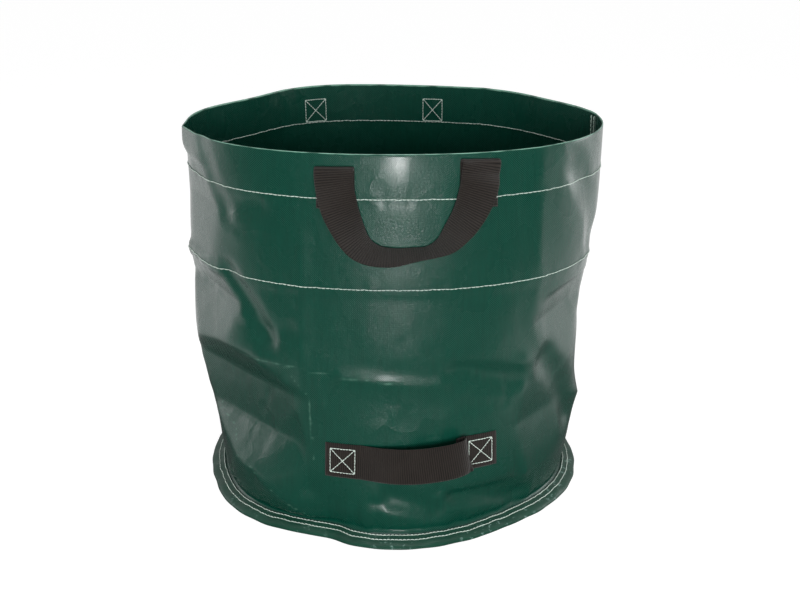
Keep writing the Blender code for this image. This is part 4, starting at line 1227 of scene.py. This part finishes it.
class BAG_OT_hem_stitches(bpy.types.Operator):
    """Stitch both rows of the hem, outside and inside"""
    bl_idname = "bag.hem_stitches"
    bl_label = "Hem stitches"

    def execute(self, context):
        sizes = context.scene.bag_sizes
        around = 360.0 * DEG_TO_SHEET
        for label, level in (("upper", UPPER_STITCH_HEIGHT), ("lower", LOWER_STITCH_HEIGHT)):
            def outside(along, aside, out, level=level):
                degrees = along / DEG_TO_SHEET
                over = over_webbing(degrees) if level == UPPER_STITCH_HEIGHT else 0.0
                return wall(degrees, level + aside, over + out)

            def inside(along, aside, out, level=level):
                return wall(along / DEG_TO_SHEET, level + aside, -HEM_INSET - out)

            for side, place, seed in (("", outside, 3), ("_inside", inside, 5)):
                row = stitch_row(place, 0.0, around, sizes.hem_stitch, seed)
                piece = stitches(f"{label}_hem_stitches{side}", [row], finish_of("thread"),
                                 sizes.thread_radius)
                settle(piece, "thread", f"{label}_hem_thread{side}")
        return {"FINISHED"}


class BAG_OT_seam_stitches(bpy.types.Operator):
    """Stitch the binding round the base, above and below, and close the side of the sheet"""
    bl_idname = "bag.seam_stitches"
    bl_label = "Base and side seam stitches"

    def execute(self, context):
        sizes = context.scene.bag_sizes
        around = 360.0 * DEG_TO_SHEET
        for label, inset in (("outer", OUTER_STITCH_INSET), ("inner", INNER_STITCH_INSET)):
            rows = [stitch_row(round_seam(inset, level, hand), 0.0, around, SEAM_STITCH, seed)
                    for level, hand, seed in ((SEAM_TOP, 1, 7), (0.0, -1, 9))]
            piece = stitches(f"{label}_seam_stitches", rows, finish_of("thread"), sizes.thread_radius)
            settle(piece, "thread", f"seam_thread_{label}")
        low = FOOT_TOP + 0.004
        high = WALL_HEIGHT - 0.004
        runs = [(-HEM_INSET, -1, HEM_END + 0.003, high, 11), (-WALL_SKIN, -1, low, HEM_END - 0.003, 13),
                (0.0, 1, low, high, 15)]
        for label, side in (("front", -0.5), ("rear", 0.5)):
            degrees = SIDE_SEAM_ANGLE + side * SIDE_SEAM_PITCH
            rows = [stitch_row(up_wall(degrees, level, hand), start, end, sizes.hem_stitch, seed)
                    for level, hand, start, end, seed in runs]
            piece = stitches(f"side_seam_stitches_{label}", rows, finish_of("thread"), sizes.thread_radius)
            settle(piece, "thread", f"side_seam_thread_{label}")
        return {"FINISHED"}


class BAG_OT_box_stitches(bpy.types.Operator):
    """Stitch a crossed box through each sewn end of the webbing, with its threads inside too"""
    bl_idname = "bag.box_stitches"
    bl_label = "Crossed box stitches"

    def execute(self, context):
        sizes = context.scene.bag_sizes
        half = BOX_STITCH / 2
        corners = [(-half, -half), (half, -half), (half, half), (-half, half)]
        for label, strap in handle_straps().items():
            low = label == "lower"
            outward = 1.0 if low else -1.0
            inner = -WALL_SKIN if low else -HEM_INSET
            middle = (LOWER_BOX_MARGIN if low else UPPER_BOX_MARGIN) + half
            for side, centre in (("left", middle), ("right", strap.length - middle)):
                angle, level = strap.station(np.array([centre]))[:2]
                degrees = float(angle[0]) + strap.turned
                height = float(level[0])
                rows = []
                for index, (first, last) in enumerate(BOX_LINES):
                    start = corners[first]
                    end = corners[last]
                    run = math.dist(start, end)
                    step = ((end[0] - start[0]) / run, (end[1] - start[1]) / run)

                    def spot(along, aside, start=start, step=step):
                        return (start[0] + step[0] * along - step[1] * aside,
                                start[1] + step[1] * along + step[0] * aside)

                    def face(along, aside, out, spot=spot):
                        x, y = spot(along, aside)
                        return strap.point(centre + x, y, outward * (WEBBING / 2 + out))

                    def back(along, aside, out, spot=spot):
                        x, y = spot(along, aside)
                        return wall(degrees + x / DEG_TO_SHEET, height + y, inner - out)

                    for place, seed in ((face, 20 + index), (back, 40 + index)):
                        rows.append(stitch_row(place, 0.0, run, sizes.box_stitch, seed, BOX_WANDER))
                piece = stitches(f"{label}_strap_box_{side}", rows, finish_of("thread"),
                                 sizes.thread_radius)
                settle(piece, "thread", f"{label}_handle_box_stitch_{side}")
        return {"FINISHED"}


class BAG_OT_stage(bpy.types.Operator):
    """Set the pale floor, the soft studio lights and the camera"""
    bl_idname = "bag.stage"
    bl_label = "Floor, lights and camera"

    def execute(self, context):
        scene = context.scene
        scene.view_settings.view_transform = "Standard"
        corners = np.array([[FLOOR_REACH * x, FLOOR_REACH * y, FLOOR_LEVEL]
                            for x, y in ((-1, -1), (1, -1), (1, 1), (-1, 1))])
        material = bpy.data.materials.new("stage_floor")
        white = (1.0, 1.0, 1.0, 1.0)
        finish = Finish(material, {"Base Color": rgba(white[:3], FLOOR_GREY), "Roughness": 0.9,
                                   "Specular IOR Level": 0.1})
        direct = finish.node("LightPath", out="Is Camera Ray")
        soft = self.seen_rays(finish) - direct
        reach = finish.node("VectorMath", {"operation": "LENGTH"}, {0: finish.place()}, out="Value")
        # In glosses the floor glows only away from the bag and off to the sides and back: a painted shadow
        # round the bag, and dark towards the camera
        lit_beyond_painted_shadow = finish.ramp(reach, 0.36, 0.72) * finish.ramp(finish.parts(finish.place())[1], -0.70, -0.25)
        strength = direct * FLOOR_GLOW + soft * lit_beyond_painted_shadow * FLOOR_GLOSS
        glow = finish.node("Emission", {}, {"Color": white, "Strength": strength})
        both = finish.node("AddShader", {}, {0: Tone(finish, finish.shader.outputs[0]), 1: glow})
        finish.feed(finish.tree.nodes["Material Output"].inputs["Surface"], both)
        floor = make_mesh("stage_floor", corners, [np.array([[0, 1, 2, 3]])], material)
        world = bpy.data.worlds.new("studio")
        scene.world = world
        around = Finish(world, shader="Background")
        direct = around.node("LightPath", out="Is Camera Ray")
        soft = self.seen_rays(around) - direct
        heading = around.parts(around.node("TexCoord", out="Generated"))
        behind = around.ramp(heading[1], -0.30, 0.15)
        strength = WORLD_DIM + direct * (1.0 - WORLD_DIM) + soft * behind * WORLD_GLOSS
        around.dress({"Color": white, "Strength": strength})
        for lamp in LAMPS:
            self.lamp(*lamp)
        camera = bpy.data.objects.new("camera", bpy.data.cameras.new("camera"))
        camera.location = CAMERA_PLACE
        camera.rotation_euler = (math.radians(CAMERA_TURN), 0.0, 0.0)
        camera.data.sensor_width = 36.0
        camera.data.lens = CAMERA_LENS
        scene.collection.objects.link(camera)
        scene.camera = camera
        return {"FINISHED"}

    def seen_rays(self, finish):
        """1 for what the camera sees, straight, in a gloss or through glass."""
        straight = finish.node("LightPath", out="Is Camera Ray")
        gloss = finish.node("LightPath", out="Is Glossy Ray")
        clear = finish.node("LightPath", out="Is Transmission Ray")
        return (straight + gloss + clear).math("MINIMUM", 1.0)

    def lamp(self, name, place, target, width, height, power):
        """An area lamp at a place, facing a target."""
        light = bpy.data.lights.new(name, "AREA")
        light.shape = "RECTANGLE"
        light.size = width
        light.size_y = height
        light.energy = power
        lamp = bpy.data.objects.new(name, light)
        lamp.location = place
        aim = Vector(target) - Vector(place)
        lamp.rotation_euler = aim.to_track_quat("-Z", "Y").to_euler()
        lamp.visible_glossy = name != HIDDEN_LAMP
        bpy.context.scene.collection.objects.link(lamp)


class BAG_PT_panel(bpy.types.Panel):
    """Every step of the bag's looks, in order"""
    bl_label = "Garden waste bag"
    bl_idname = "BAG_PT_panel"
    bl_space_type = "VIEW_3D"
    bl_region_type = "UI"
    bl_category = "Bag"

    def draw(self, context):
        for group in (context.scene.bag_sizes, context.scene.bag_colours):
            for name in group.__annotations__:
                self.layout.prop(group, name)
        for step in STEPS:
            self.layout.operator(step.bl_idname)


STEPS = (BAG_OT_wall, BAG_OT_base, BAG_OT_straps, BAG_OT_hem_stitches, BAG_OT_seam_stitches,
         BAG_OT_box_stitches, BAG_OT_stage)
CLASSES = (BagSizes, BagColours, *STEPS, BAG_PT_panel)


def register():
    for item in CLASSES:
        bpy.utils.register_class(item)
    bpy.types.Scene.bag_sizes = PointerProperty(type=BagSizes)
    bpy.types.Scene.bag_colours = PointerProperty(type=BagColours)


def unregister():
    del bpy.types.Scene.bag_sizes
    del bpy.types.Scene.bag_colours
    for item in reversed(CLASSES):
        bpy.utils.unregister_class(item)


def main():
    register()
    bpy.ops.bag.wall()
    bpy.ops.bag.base()
    bpy.ops.bag.straps()
    bpy.ops.bag.hem_stitches()
    bpy.ops.bag.seam_stitches()
    bpy.ops.bag.box_stitches()
    bpy.ops.bag.stage()


if __name__ == "__main__":
    main()
